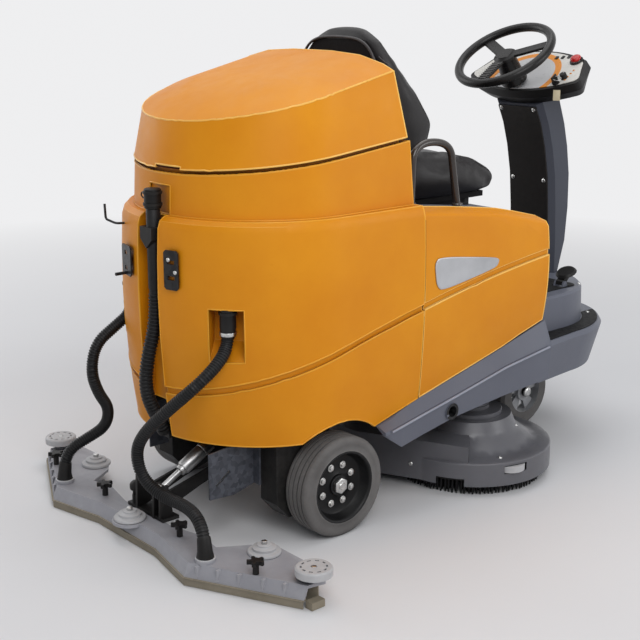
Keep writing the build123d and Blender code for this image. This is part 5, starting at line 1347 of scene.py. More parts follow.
    def gap_seal(self, side: Side, tank: Probe) -> None:
        """Dark bead in the gap between the tank and a side panel, painting the shade in it.

        Args:
            side: Which side.
            tank: Probe on the rear tank.
        """
        sign = side.value
        x, low, high = self.gap
        behind, out = self.gap_start
        depth, radius = self.gap_gasket
        starts = [mm(x - behind, sign * out, low + (high - low) * k / 24) for k in range(25)]
        skin = tank.spots(starts, (0, -sign, 0))
        line = Line.through([Vector((x / 1000, spot.y - sign * depth, spot.z)) for spot in skin])
        self.shop.dress(line.bead(f"seam_gasket_{side}", radius, 60, 10), GAP_SHADE, "lower_cowl")

    def tie_sleeve(self, side: Side) -> None:
        """Dark sleeve behind the tie hole in the skirt, painting the shade inside the hole.

        Args:
            side: Which side.
        """
        sign = side.value
        (x, z), (outer, inner, start, deep) = self.tie, self.sleeve
        wall = [(outer, 0), (inner, 0), (inner, deep), (outer, deep), (outer, 0)]
        piece = Bench.turned(f"tie_sleeve_{side}", wall, (x, sign * start, z), (0, -sign, 0), 32, 0.0)
        self.shop.dress(piece, RIM, "lower_cowl")

    def ridge(self, side: Side) -> None:
        """Lighter bead along the ridge of the skirt, painting a highlight on it.

        Args:
            side: Which side.
        """
        sign = side.value
        rear, span = self.skirt
        spots = [mm(rear + share * span, sign * self.ridge_side, z) for share, z in self.ridge_line]
        bead = Line.through(spots).even_bead(f"skirt_bead_{side}", self.ridge_radius, 0.012, 10)
        # Its lighter finish paints a highlight along the ridge.
        self.shop.dress(bead, SKIRT_HIGHLIGHT, "lower_cowl")

    def badge(self, side: Side, panel: Piece) -> None:
        """Bare tapered plate laid on a side panel.

        Args:
            side: Which side.
            panel: Panel that it lies on.
        """
        sign = side.value
        Bench.clear()
        bpy.ops.mesh.primitive_grid_add(x_subdivisions=36, y_subdivisions=18, size=2.0)
        piece = bpy.context.object
        piece.name = f"bare_plate_{side}"
        (ax, az), (bx, bz), (cx, cz), (dx, dz) = self.plate
        for vert in piece.data.vertices:
            s, t = vert.co.x, vert.co.y
            u = (s * math.sqrt(1 - self.plate_draw * t ** 4) + 1) / 2
            v = (t * math.sqrt(1 - self.plate_draw * s ** 4) + 1) / 2
            top = (ax + (bx - ax) * u, az + (bz - az) * u)
            low = (dx + (cx - dx) * u, dz + (cz - dz) * u)
            vert.co = mm(low[0] + (top[0] - low[0]) * v, sign * 500, low[1] + (top[1] - low[1]) * v)
        Bench.apply(piece, "SHRINKWRAP", target=panel, wrap_method="PROJECT", use_project_x=False,
                    use_project_y=True, use_project_z=False, use_negative_direction=True,
                    use_positive_direction=True, offset=0.0004)
        if side is Side.LEFT:
            piece.data.flip_normals()
        Bench.apply(piece, "SOLIDIFY", thickness=0.003, offset=1.0)
        Bench.round_edges(piece, 0.001, 2, 50.0)
        Bench.soften(piece, ROUND_ANGLE)
        self.shop.dress(piece, PLATE, "rear_brackets", body="frame")


@dataclass
class Chassis(Assembly):
    """Frame, plates, drive units and what sits inside.

    Attributes:
        hanger_bolts: Pixels of the photograph that show the hanger plates' bolts.
    """

    hanger_bolts: Points = ((168, 260), (175, 273))

    def build(self) -> None:
        """Make the chassis pieces."""
        self.shop.refine("chassis_frame", STEEL, 0.003)
        self.shop.refine("rear_brackets", ZINC, 0.001)
        plates = Probe(self.shop.refine("hanger_brackets", HANGER, 0.0008))
        studio = Studio()
        sights = [(studio.eye, studio.sight(pixel)) for pixel in self.hanger_bolts]
        self.shop.screws("hanger_screws", plates, sights, "frame", 0.0062)
        self.shop.refine("drive_units", STEEL, 0.003)
        self.shop.refine("batteries", CASE, 0.004)
        self.shop.refine("suction_turbine", STEEL, 0.002)
        self.shop.refine("deck_link", STEEL, 0.001)


@dataclass
class RunningGear(Assembly):
    """Driven rear wheels, steered front wheels and their fork. Tyre and rim are drawn from the inner face.

    Attributes:
        axle: X and Z of the driven axle.
        inner: A drive wheel's inner face, from the middle.
        web: The rim's web, from that face.
        groove: One groove, about its middle.
        bolt_turn: Turn of the first bolt in degrees.
        nut_rise: Foot of the hub nut, from the web.
        front_axle: X and Z of the front axle.
        front_rings: Outer radius of a front wheel's boss and spokes, in metres.
        cap_side: Foot of a front hub cap, from the middle.
    """

    axle: Pair = (-430.0, 150.0)
    inner: float = 303.0
    web: float = 55.0
    grooves: tuple[float, ...] = (17.0, 35.0, 53.0, 71.0)
    shoulder: Profile = ((108.0, 0.0), (141.0, 0.0), (147.0, 1.5), (150.0, 6.0))
    groove: Profile = ((150, -2.6), (148.6, -2.2), (145.2, -1.2), (145.2, 1.2), (148.6, 2.2), (150, 2.6))
    flank: Profile = (
        (150, 80), (148, 84.5), (141, 89.4), (136, 90), (128, 90), (126, 88.6), (113, 88.6), (111, 90),
        (108, 90), (108, 0))
    rim: Profile = (
        (107.7, 4), (107.7, 89.6), (104, 90), (101, 88), (98, 83), (90.5, 58.5), (87, 55.8), (76, 55),
        (74, 54), (45, 54), (43, 55), (34, 55.5), (31, 58), (30, 65), (20.3, 65), (20.3, 6), (107.7, 4))
    bolt_circle: float = 59.0
    bolt_count: int = 8
    bolt_turn: float = 22.0
    washer: Profile = ((0, 0), (11, 0), (11, 1.6), (10.4, 2), (0, 2))
    stub: Profile = ((0, 0), (11, 0), (11, 15.2), (9.6, 16.6), (0, 16.6))
    nut_rise: float = 10.0
    front_axle: Pair = (711.0, 125.0)
    front_rings: Pair = (0.024, 0.0785)
    cap: Profile = ((0, 0), (19, 0), (19, 3), (17, 5.4), (12, 6.6), (11, 7.6), (0, 8))
    cap_side: float = 116.2

    def build(self) -> None:
        """Make both drive wheels and the front wheels."""
        for side in Side:
            self.drive_wheel(side)
            self.front_wheel(side)
        self.shop.refine("steering_fork", STEEL, 0.001)

    def drive_wheel(self, side: Side) -> None:
        """Tyre, rim, bolts and hub nut on one side.

        Args:
            side: Which side.
        """
        sign = side.value
        x, z = self.axle
        foot, out = (x, sign * self.inner, z), (0.0, sign, 0.0)
        tread = [(radius, at + step) for at in self.grooves for radius, step in self.groove]
        tyre = Bench.turned(f"tyre_{side}", [*self.shoulder, *tread, *self.flank], foot, out, 72)
        self.shop.dress(tyre, TYRE, f"drive_tyre_{side}", f"drive_tyre_{side}")
        rim = Bench.turned(f"rim_{side}", self.rim, foot, out, 72)
        self.shop.dress(rim, RIM, f"drive_rim_{side}", f"drive_rim_{side}")
        self.wheel_bolts(side, out)

    def wheel_bolts(self, side: Side, out: Point) -> None:
        """Ring of bolts, hub nut and axle end on one side.

        Args:
            side: Which side.
            out: Direction out of the wheel.
        """
        sign = side.value
        x, z = self.axle
        web = self.inner + self.web
        first = (x + self.bolt_circle, sign * web, z)
        hub = (x, sign * (web + self.nut_rise), z)
        bolt = Bench.prism("bolt", 0.0078, 0.0065, mm(*first), out, 0.001)
        washer = Bench.turned("washer", self.washer, first, out, 20, 0.0)
        one = Bench.merge("bolt", [bolt, washer])
        centre = Matrix.Translation(mm(x, 0, z))
        angles = [math.radians(self.bolt_turn + 360 / self.bolt_count * k) for k in range(self.bolt_count)]
        turns = [centre @ Matrix.Rotation(angle, 4, "Y") @ centre.inverted() for angle in angles]
        ring = [Bench.clone(one, "bolt", turn) for turn in turns]
        nut = Bench.prism("nut", 0.025, 0.012, mm(*hub), out, 0.0015)
        stub = Bench.turned("stub", self.stub, hub, out, 24, 0.0)
        bpy.data.objects.remove(one)
        bolts = Bench.merge(f"wheel_bolts_{side}", [*ring, nut, stub])
        Bench.soften(bolts)
        self.shop.dress(bolts, BOLT, "rear_brackets", body=f"drive_wheel_{side}")

    def front_wheel(self, side: Side) -> None:
        """Rounded front wheel with a grey tyre, spokes, a pale hub and its cap.

        Args:
            side: Which side.
        """
        sign = side.value
        x, z = self.front_axle
        boss, spokes = self.front_rings
        wheel = self.shop.refine(f"front_wheel_{side}", TYRE, 0.0015, 2, 30.0, ROUND_ANGLE, flat=0.0)
        paint_rings(wheel, mm(x, 0, z), (0, 1, 0), ((boss, PALE), (spokes, HUB), (1.0, TYRE)))
        cap = Bench.turned(f"hub_cap_{side}", self.cap, (x, sign * self.cap_side, z), (0, sign, 0), 32)
        self.shop.dress(cap, BOLT, "rear_brackets", body=f"front_wheel_{side}")


@dataclass
class BrushDeck(Assembly):
    """Deck cover, motors, disc brushes and side rollers.

    Attributes:
        brush: X and Y of a brush's axis.
        shade: X behind which and Z over which the cover is painted darker as shade, in metres.
        bolts: Pixels of the photograph that show the cover's bolts.
        motor_fin: One fin, from its height up.
        root: Height at which the strands are held.
        rings: Radius and number of strands of each ring.
        stray: Share of a step by which a strand leaves its place.
        splay: Lean of the outermost strands in radians.
        floor: Height of the lowest tips, in metres.
    """

    brush: Pair = (245.0, 260.0)
    shade: Pair = (0.06, 0.113)
    bolts: Points = ((410.7, 463.5), (500, 457.5), (516, 425))
    motor_foot: Profile = (
        (0, 200), (103, 200), (104, 201), (104, 212), (102, 214), (66, 214), (62, 216), (62, 222))
    motor_fins: tuple[float, ...] = (226, 233, 240, 247)
    motor_fin: Profile = ((62, 0), (58.5, 1), (58.5, 3), (62, 4))
    motor_top: Profile = ((62, 257), (58, 262), (0, 262))
    shaft: Profile = ((0, 73), (15, 73), (15, 201), (0, 201))
    plate: Profile = (
        (110, 62), (110, 44), (240, 44), (244, 47), (245, 50), (245, 64), (242, 68), (48, 68), (46, 70),
        (46, 85), (44, 86), (15.6, 86), (15.6, 72), (0, 72), (0, 62), (110, 62))
    strand: Profile = ((0, 1), (2.6, 1), (4.6, 24), (4.2, 45), (0, 45))
    root: float = 45.0
    rings: tuple[tuple[float, int], ...] = ((138, 46), (158, 54), (178, 60), (198, 70), (217, 88), (234, 118))
    seed: int = 11
    stray: Pair = (-0.2, 0.2)
    splay: Pair = (-0.05, 0.10)
    floor: float = 0.001

    def build(self) -> None:
        """Make the deck."""
        # The deck's rounded edges get a lighter finish as a painted highlight.
        cover = self.shop.refine("deck_cover", DECK, 0.002, 2, 40.0, ROUND_ANGLE, DECK_HIGHLIGHT, 0.05)
        ahead, above = self.shade
        # Painted shade: the cover's faces behind the bell and over the flange are darker.
        paint(cover, DECK_PAINTED_SHADE, lambda spot: spot.x < ahead and spot.z > above)
        self.cover_screws(Probe(cover))
        self.motors()
        for side in Side:
            self.disc_brush(side)
            self.shop.refine(f"deck_roller_{side}", PALE, 0.0012)

    def cover_screws(self, cover: Probe) -> None:
        """Screws where the photograph shows them, and the same on the other side.

        Args:
            cover: Probe on the deck's cover.
        """
        studio = Studio()
        rays = []
        for pixel in self.bolts:
            spot, normal = cover.hit(studio.eye, studio.sight(pixel))
            for side in (1, -1):
                flip = Vector((1, side, 1))
                rays.append(((spot + normal * 0.02) * flip, -normal * flip))
        self.shop.screws("deck_screws", cover, rays, "deck", 0.0075)

    def motors(self) -> None:
        """Finned motor and shaft over each brush."""
        x, y = self.brush
        fins = [(radius, at + step) for at in self.motor_fins for radius, step in self.motor_fin]
        motor = [*self.motor_foot, *fins, *self.motor_top]
        turned = [Bench.turned("motor", line, (x, side.value * y, 0), UP, 40, 0.0)
                  for side in Side for line in (motor, self.shaft)]
        motors = Bench.merge("brush_motor_pair", turned)
        Bench.soften(motors, ROUND_ANGLE)
        self.shop.dress(motors, DECK, "brush_motors", "brush_motors")

    def disc_brush(self, side: Side) -> None:
        """Brush plate with rings of splayed nylon strands.

        Args:
            side: Which side.
        """
        sign = side.value
        x, y = self.brush[0], sign * self.brush[1]
        disc = Bench.turned(f"brush_plate_{side}", self.plate, (x, y, 0), UP, 64)
        strand = Bench.turned("strand", self.strand, (0, 0, 0), UP, 6, 0.0)
        draw = random.Random(self.seed)
        widest = self.rings[-1][0]
        shape = bmesh.new()
        for radius, count in self.rings:
            for k in range(count):
                turn = 2 * math.pi * (k + draw.uniform(*self.stray)) / count
                lean = draw.uniform(*self.splay) * (radius / widest)
                copied = strand.data.copy()
                copied.transform(Matrix.Translation(mm(x, y, 0)) @ Matrix.Rotation(turn, 4, "Z")
                                 @ Matrix.Translation(mm(radius, 0, self.root))
                                 @ Matrix.Rotation(-lean, 4, "Y") @ Matrix.Translation(mm(0, 0, -self.root)))
                shape.from_mesh(copied)
                bpy.data.meshes.remove(copied)
        for vert in shape.verts:
            vert.co.z = max(vert.co.z, self.floor)
        data = bpy.data.meshes.new("strands")
        shape.to_mesh(data)
        shape.free()
        bpy.data.objects.remove(strand)
        bristles = Bench.place_mesh(f"bristles_{side}", data)
        Bench.soften(bristles, 70.0)
        self.shop.dress(disc, BLACK, f"brush_{side}", f"brush_{side}")
        self.shop.dress(bristles, BRISTLE, f"brush_{side}", f"brush_{side}")


@dataclass
class Squeegee(Assembly):
    """Winged squeegee with its rollers, discs, knobs, arm and lift actuator.

    Attributes:
        discs: X and Y of the stepped guide discs.
        disc_top: Height of a disc's bolt.
        roller: X, Y and Z of a bumper roller's bolt.
        knob: X and Y of the release knob.
        lift: Foot and tip of the lift actuator.
        rod: Start, radius and distance from the tip of the actuator's rod.
    """

    discs: Points = ((-758, -432), (-758, 432), (-908, 0))
    disc: Profile = (
        (0, 62), (44.5, 62), (46, 63.5), (46, 69), (44.5, 71), (35, 72), (33, 74), (33, 80.5), (31.5, 82),
        (22, 83), (20, 85), (20, 87.5), (18.5, 89), (0, 89))
    disc_top: float = 88.8
    roller: Triple = (-764, 644, 98)
    knob: Pair = (-838, 70)
    grip: Profile = (
        (0, 96.4), (11, 96.4), (12, 97.4), (12, 108), (15, 110.5), (19, 113), (20, 117), (20, 127),
        (18, 132), (13, 137), (6, 139.6), (0, 140))
    lift: tuple[Point, Point] = ((-640, -60, 263), (-840, -60, 152))
    tube: Profile = (
        (0, 8), (12.5, 8), (13, 9), (13, 26), (19, 26.5), (21, 29), (21, 60), (20, 61), (20, 64), (21, 65),
        (21, 134), (19, 139.5), (16, 140), (16, 149), (15, 151), (9.4, 151), (9.4, 70), (0, 70))
    eye: Profile = ((6.3, -17), (13, -17), (14, -16), (14, 16), (13, 17), (6.3, 17), (6.3, -17))
    rod: Triple = (100, 9, 8)
    rod_eye: Profile = ((8.5, -10), (14, -10), (15, -9), (15, 9), (14, 10), (8.5, 10), (8.5, -10))

    def build(self) -> None:
        """Make the squeegee."""
        # The rounded edges get a lighter finish as a painted highlight.
        self.shop.refine("squeegee_body", CAST, 0.0015, 2, rim=CAST_HIGHLIGHT)
        self.shop.refine("squeegee_blades", BLADE, 0.0006)
        self.shop.refine("squeegee_arm", STEEL, 0.001)
        discs, heads = [], []
        for x, y in self.discs:
            discs.append(Bench.turned("disc", self.disc, (x, y, 0), UP, 56, 0.0))
            heads.append(Bench.prism("head", 0.009, 0.0088, mm(x, y, self.disc_top), UP, 0.001))
        disc = Bench.merge("guide_disc_set", discs)
        Bench.soften(disc, ROUND_ANGLE)
        self.shop.dress(disc, PALE, "guide_discs", "guide_discs")
        self.shop.dress(Bench.merge("disc_bolts", heads), BOLT, "rear_brackets", body="squeegee")
        for side in Side:
            self.wing(side)
        knob = Bench.turned("release_grip", self.grip, (*self.knob, 0), UP, 32, 60.0)
        self.shop.dress(knob, BLACK, "release_knob", "release_knob")
        self.actuator()

    def wing(self, side: Side) -> None:
        """Bumper roller with its bolt, and the star knobs on one side.

        Args:
            side: Which side.
        """
        sign = side.value
        self.shop.refine(f"bumper_roller_{side}", PALE, 0.0012)
        x, y, z = self.roller
        pin = Bench.prism(f"roller_bolt_{side}", 0.0076, 0.004, mm(x, sign * y, z), UP, 0.0008)
        self.shop.dress(pin, BOLT, "rear_brackets", body="squeegee")
        for place in ("outer", "inner"):
            self.shop.refine(f"star_knob_{place}_{side}", BLACK, 0.0028, 3, 40.0, 50.0)

    def actuator(self) -> None:
        """Motor tube, end cap and rod of the lift actuator."""
        foot, tip = self.lift
        way = Vector(mm(*tip)) - Vector(mm(*foot))
        start, radius, short = self.rod
        end = way.length * 1000 - short
        rod = ((0, start), (radius, start), (radius, end), (0, end))
        for name, node, line, eye, spot, steps in (
                ("lift_actuator", "actuator_body", self.tube, self.eye, foot, 32),
                ("lift_rod", "actuator_rod", rod, self.rod_eye, tip, 28)):
            shaft = Bench.turned("shaft", line, foot, way.normalized(), steps, 0.0)
            ring = Bench.turned("eye", eye, spot, (0, 1, 0), 28, 0.0)
            made = Bench.merge(name, [shaft, ring])
            Bench.soften(made, ROUND_ANGLE)
            self.shop.dress(made, SILVER, node, node)


@dataclass
class Hoses(Assembly):
    """Suction hoses, drain hose, fittings and the drain cap.

    Attributes:
        fitting: X and Y of a fitting in the tank's pocket.
        fitting_end: Z of the hose's start in it and of the first bend.
        port: X and Y of a port on the squeegee.
        port_end: Z of the last bend over it and of the hose's end.
        lengths: Length of the right, left and drain hose, in metres.
        wall: Pitch, crest and root radius of a suction hose's ribs, in metres.
        cuff_top: Distance from the start and radius, in metres.
        cuff_foot: Distance before the end and radius, in metres.
        pipe: Distance along the drain hose and radius of its smooth part, in metres.
        drain_wall: Start, pitch, crest and root radius of the drain hose's ribs, in metres.
        strap: Middle, half width, half height and radius of the cap's strap.
    """

    fitting: Pair = (-722.7, 240.1)
    fitting_end: Pair = (645.0, 601.0)
    port: Pair = (-908.0, 368.0)
    port_end: Pair = (122.0, 71.4)
    right: Points = (
        (-768, -257, 558), (-838, -254, 510), (-882, -194, 444), (-914, -116, 366), (-930, -78, 300),
        (-924, -94, 222), (-900, -156, 178), (-886, -258, 176), (-896, -326, 164))
    left: Points = (
        (-770, 258, 560), (-838, 264, 516), (-864, 256, 436), (-838, 264, 362), (-792, 280, 300),
        (-792, 304, 234), (-838, 340, 196), (-886, 362, 168))
    drain: Points = (
        (-803, -15, 955), (-803, -15, 830), (-803, -15, 718), (-809, -15, 620), (-839, -15, 530),
        (-849, -15, 450), (-829, -15, 380), (-793, -15, 318))
    lengths: Triple = (0.908, 0.717, 0.652)
    wall: Triple = (0.0075, 0.0176, 0.0154)
    cuff_top: Profile = ((0.0, 0.0215), (0.003, 0.022), (0.02, 0.0215), (0.024, 0.0195), (0.027, 0.0182))
    cuff_foot: Profile = ((0.056, 0.0182), (0.050, 0.0192), (0.02, 0.0208), (0.006, 0.0236), (0.0, 0.0242))
    clamp: Profile = ((21, 626), (23.4, 626), (23.8, 627), (23.8, 635), (23.4, 636), (21, 636), (21, 626))
    ring: Profile = ((24.4, 71), (27.6, 71), (28, 72), (27.5, 73.6), (24.4, 74), (24.4, 71))
    pipe: Profile = ((0.0, 0.0185), (0.002, 0.0198), (0.225, 0.0198), (0.228, 0.0178))
    drain_wall: Four = (0.236, 0.0105, 0.0199, 0.0172)
    plug: Profile = (
        (0, 955.4), (22.5, 955.4), (24, 957), (24, 963), (27, 963.6), (27, 970.4), (24, 971), (24, 995),
        (27, 995.6), (27, 1002.4), (24, 1003), (23.4, 1008), (21, 1010), (0, 1010))
    plug_spot: Pair = (-803, -15)
    strap: tuple[Point, float, float, float] = ((-806, 21, 988), 15.0, 9.0, 1.9)

    def build(self) -> None:
        """Make the hoses and their fittings."""
        self.suction(Side.RIGHT, self.right, self.lengths[0])
        self.suction(Side.LEFT, self.left, self.lengths[1])
        self.drain_hose()
        self.shop.refine("hose_fittings", BLACK, 0.0012)
        self.cap()

    @staticmethod
    def ribs(start: float, end: float, pitch: float, crest: float, root: float) -> list[Pair]:
        """Rings of a ribbed wall.

        Args:
            start: Where the ribs start along the hose.
            end: Where they end.
            pitch: About the length of a rib.
            crest: Radius on a rib.
            root: Radius between two ribs.

        Returns:
            Distance along the hose and radius of each ring.
        """
        count = max(1, round((end - start) / pitch))
        step = (end - start) / count
        rings = []
        for k in range(count):
            base = start + k * step
            rings += [(base + share * step, radius)
                      for share, radius in ((0.0, root), (0.22, root), (0.42, crest), (0.80, crest))]
        return rings + [(end, root)]

    def suction(self, side: Side, bends: Points, length: float) -> None:
        """One ribbed suction hose with a cuff at each end.

        Args:
            side: Which side.
            bends: Route between the fitting and the port.
            length: Its length in metres; not used.
        """
        sign = side.value
        (fx, fy), (px, py) = self.fitting, self.port
        first = [(fx, sign * fy, z) for z in self.fitting_end]
        last = [(px, sign * py, z) for z in self.port_end]
        line = Line([*first, *bends, *last])
        end = line.length
        hose = line.tube(f"suction_hose_tube_{side}", self.ribs(0.0, end, *self.wall), 22)
        hose.data.materials.append(HOSE.material())
        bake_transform(hose)
        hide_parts(f"suction_hose_{side}")
        self.shop.note(hose)
        top = line.tube(f"hose_cuff_top_{side}", self.cuff_top, 28)
        self.shop.dress(top, BLACK, "hose_fittings")
        clamp = Bench.turned(f"hose_clamp_{side}", self.clamp, (fx, sign * fy, 0), UP, 36)
        self.shop.dress(clamp, BOLT, "rear_brackets")
        foot = line.tube(f"hose_cuff_foot_{side}", [(end - back, r) for back, r in self.cuff_foot], 28)
        self.shop.dress(foot, BLACK, "release_knob", body="squeegee")
        collar = Bench.turned(f"port_ring_{side}", self.ring, (px, sign * py, 0), UP, 36)
        self.shop.dress(collar, PALE, "guide_discs", body="squeegee")

    def drain_hose(self) -> None:
        """Drain hose: a smooth upper pipe and a ribbed lower end."""
        line = Line(self.drain)
        start, *wall = self.drain_wall
        hose = line.tube("drain_hose_tube", [*self.pipe, *self.ribs(start, line.length, *wall)], 26)
        self.shop.dress(hose, HOSE, "drain_hose", "drain_hose")

    def cap(self) -> None:
        """Drain cap with two bands and a strap loop."""
        cap = Bench.turned("drain_plug", self.plug, (*self.plug_spot, 0), UP, 40)
        self.shop.dress(cap, BLACK, "drain_cap", "drain_cap")
        middle, wide, high, radius = self.strap
        turns = [2 * math.pi * k / 24 for k in range(25)]
        arms = [Vector(mm(0, wide * math.cos(turn), high * math.sin(turn))) for turn in turns]
        loop = Line.through([Vector(mm(*middle)) + arm for arm in arms])
        self.shop.dress(loop.bead("drain_strap", radius / 1000, 48, 8), BLACK, "drain_cap")


@dataclass
class Seat(Assembly):
    """Cushions with seams and piping, shell, runners and grab rails.

    Attributes:
        voxel: Fineness of a cushion's mesh, in metres.
        swell: Most that the stuffing moves a point, in metres.
        back_rest: X behind which the backrest is held, in metres.
        seat_rest: Z under which the seat is held, in metres.
        back_panel: Y and Z of the seam on the backrest's front, one half.
        seat_panel: X and Y of the seam on the seat, one half.
        seam_draw: Half width and depth of a seam, in metres.
        rear_panel: Route of the piping on the back, one half.
        bolsters: Outer and inner Z and Y of the short seams.
    """

    voxel: float = 0.0065
    swell: float = 0.012
    pressure: float = 4.0
    frames: int = 20
    back_rest: float = -0.068
    seat_rest: float = 0.915
    back_panel: Points = (
        (0, 1078), (90, 1080), (132, 1096), (138, 1150), (134, 1230), (118, 1310), (88, 1368), (40, 1392),
        (0, 1396))
    seat_panel: Points = (
        (-20, 0), (-20, 100), (-8, 128), (60, 140), (180, 142), (290, 136), (366, 122), (388, 90), (394, 0))
    seam_draw: Pair = (0.011, 0.006)
    rear_panel: Points = (
        (-86, 186, 1058), (-95, 196, 1140), (-105, 193, 1236), (-112, 170, 1328), (-112, 118, 1392),
        (-110, 0, 1400))
    bolsters: Points = ((1322, 1344, 190, 160), (1276, 1290, 210, 180))
    rail_route: Points = (
        (-112, 918), (-110, 985), (-107, 1106), (50, 1100), (66, 1000), (87, 896))
    rail_side: float = 323.0
    rail_feet: Points = ((-112, 928), (86, 907))
    foot: Profile = ((0, -8), (16, -8), (16.5, 3), (15, 5), (11.4, 6), (0, 6))

    def build(self) -> None:
        """Make the seat."""
        self.shop.refine("seat_shell", BACKING, 0.004, 3)
        self.shop.refine("seat_rails", STEEL, 0.0015)
        back = self.cushion("backrest_cushion", lambda spot: spot.x < self.back_rest)
        front = [(0.5, *mm(y, z)) for y, z in dense(mirrored(self.back_panel))]
        self.sew(back, Probe(back).spots(front, (-1, 0, 0)), "back_piping")
        seat = self.cushion("seat_cushion", lambda spot: spot.z < self.seat_rest)
        outline = dense(mirrored([(y, x) for x, y in self.seat_panel]))
        self.sew(seat, Probe(seat).spots([(*mm(x, y), 1.3) for y, x in outline], (0, 0, -1)), "seat_piping")
        for piece, node in ((back, "backrest_cushion"), (seat, "seat_cushion")):
            self.shop.dress(piece, VINYL, node, node)
        self.rear_seams(back)
        self.grab_rails()

    def rear_seams(self, back: Piece) -> None:
        """Piping round the panel on the back, and short seams across the bolsters.

        Args:
            back: The backrest.
        """
        half = self.rear_panel
        line = Line([*half, *[(x, -y, z) for x, y, z in reversed(half[:-1])]])
        self.shop.dress(line.even_bead("rear_piping", 0.0042, 0.006, 12), PIPING, "seat_cushion", body="seat")
        probe, seams = Probe(back), []
        for low, high, out, inner in self.bolsters:
            for sign in (-1, 1):
                starts = [mm(-400, sign * (inner + (out - inner) * k / 8), high + (low - high) * k / 8)
                          for k in range(9)]
                seam = Line.through(probe.spots(starts, (1, 0, 0)))
                seams.append(seam.bead("seam", 0.0022, 12, 8))
        self.shop.dress(Bench.merge("bolster_seams", seams), PIPING, "seat_cushion", body="seat")

    def cushion(self, node: str, held: Callable[[Vector], bool]) -> Piece:
        """Stuffed cushion blown up from its CAD form.

        Args:
            node: CAD cushion.
            held: Tells which points rest on something.

        Returns:
            The cushion.
        """
        piece = Bench.copy_of(self.shop.frame["nodes"][node], f"{node}_cover", 0.0)
        Bench.hold(piece)
        piece.data.remesh_voxel_size = self.voxel
        bpy.ops.object.voxel_remesh()
        Bench.apply(piece, "SMOOTH", factor=0.5, iterations=64)
        self.inflate(piece, held)
        Bench.apply(piece, "SUBSURF", levels=1, render_levels=1)
        Bench.soften(piece, 60.0)
        return piece

    def inflate(self, piece: Piece, held: Callable[[Vector], bool]) -> None:
        """Blow a cushion up as cloth under pressure, within a cap.

        Args:
            piece: The cushion.
            held: Tells which points rest on something.
        """
        rest = [v.co.copy() for v in piece.data.vertices]
        group = piece.vertex_groups.new(name="held")
        group.add([k for k, spot in enumerate(rest) if held(spot)], 1.0, "REPLACE")
        cloth = piece.modifiers.new("stuffing", "CLOTH")
        cloth.settings.use_pressure = True
        cloth.settings.uniform_pressure_force = self.pressure
        cloth.settings.effector_weights.gravity = 0.0
        cloth.settings.vertex_group_mass = "held"
        cloth.settings.quality = 4
        cloth.collision_settings.use_collision = False
        cloth.point_cache.frame_start, cloth.point_cache.frame_end = 1, self.frames
        scene = bpy.context.scene
        for step in range(self.frames):
            scene.frame_set(step + 1)
        Bench.hold(piece)
        bpy.ops.object.modifier_apply(modifier=cloth.name)
        for vert, start in zip(piece.data.vertices, rest):
            move = vert.co - start
            if move.length > self.swell:
                vert.co = start + move.normalized() * self.swell
        piece.vertex_groups.clear()
        scene.frame_set(1)
        Bench.apply(piece, "SMOOTH", factor=0.5, iterations=14)

    def sew(self, piece: Piece, seam: Sequence[Vector], name: str) -> None:
        """Draw a cushion in along a seam and lay piping in it.

        Args:
            piece: The cushion.
            seam: Points of a closed seam on its surface.
            name: Name of the piping.
        """
        width, depth = self.seam_draw
        shape = bmesh.new()
        shape.from_mesh(piece.data)
        shape.normal_update()
        tree = KDTree(len(seam))
        for k, spot in enumerate(seam):
            tree.insert(spot, k)
        tree.balance()
        moves = []
        for vert in shape.verts:
            _, _, far = tree.find(vert.co)
            if far < width:
                moves.append((vert, vert.normal * -depth * (1 - (far / width) ** 2) ** 2))
        for vert, move in moves:
            vert.co += move
        shape.to_mesh(piece.data)
        shape.free()
        probe = Probe(piece)
        laid = [probe.tree.find_nearest(spot)[0] for spot in seam]
        line = Line.through([*laid, laid[0], laid[1]])
        self.shop.dress(line.even_bead(name, 0.0034, 0.005, 10), PIPING, "seat_cushion", body="seat")

    def grab_rails(self) -> None:
        """Bent tube on each side of the seat, with a foot flange at each leg."""
        for side in Side:
            y = side.value * self.rail_side
            line = Line([(x, y, z) for x, z in self.rail_route])
            tube = line.even_bead(f"grab_rail_{side}", 0.0112, 0.006, 24)
            feet = [Bench.turned("foot", self.foot, (x, y, z), UP, 32, 0.0) for x, z in self.rail_feet]
            rail = Bench.merge(f"grab_rail_{side}", [tube, *feet])
            Bench.soften(rail, 45.0)
            self.shop.dress(rail, RAIL, "grab_rails", "grab_rails")


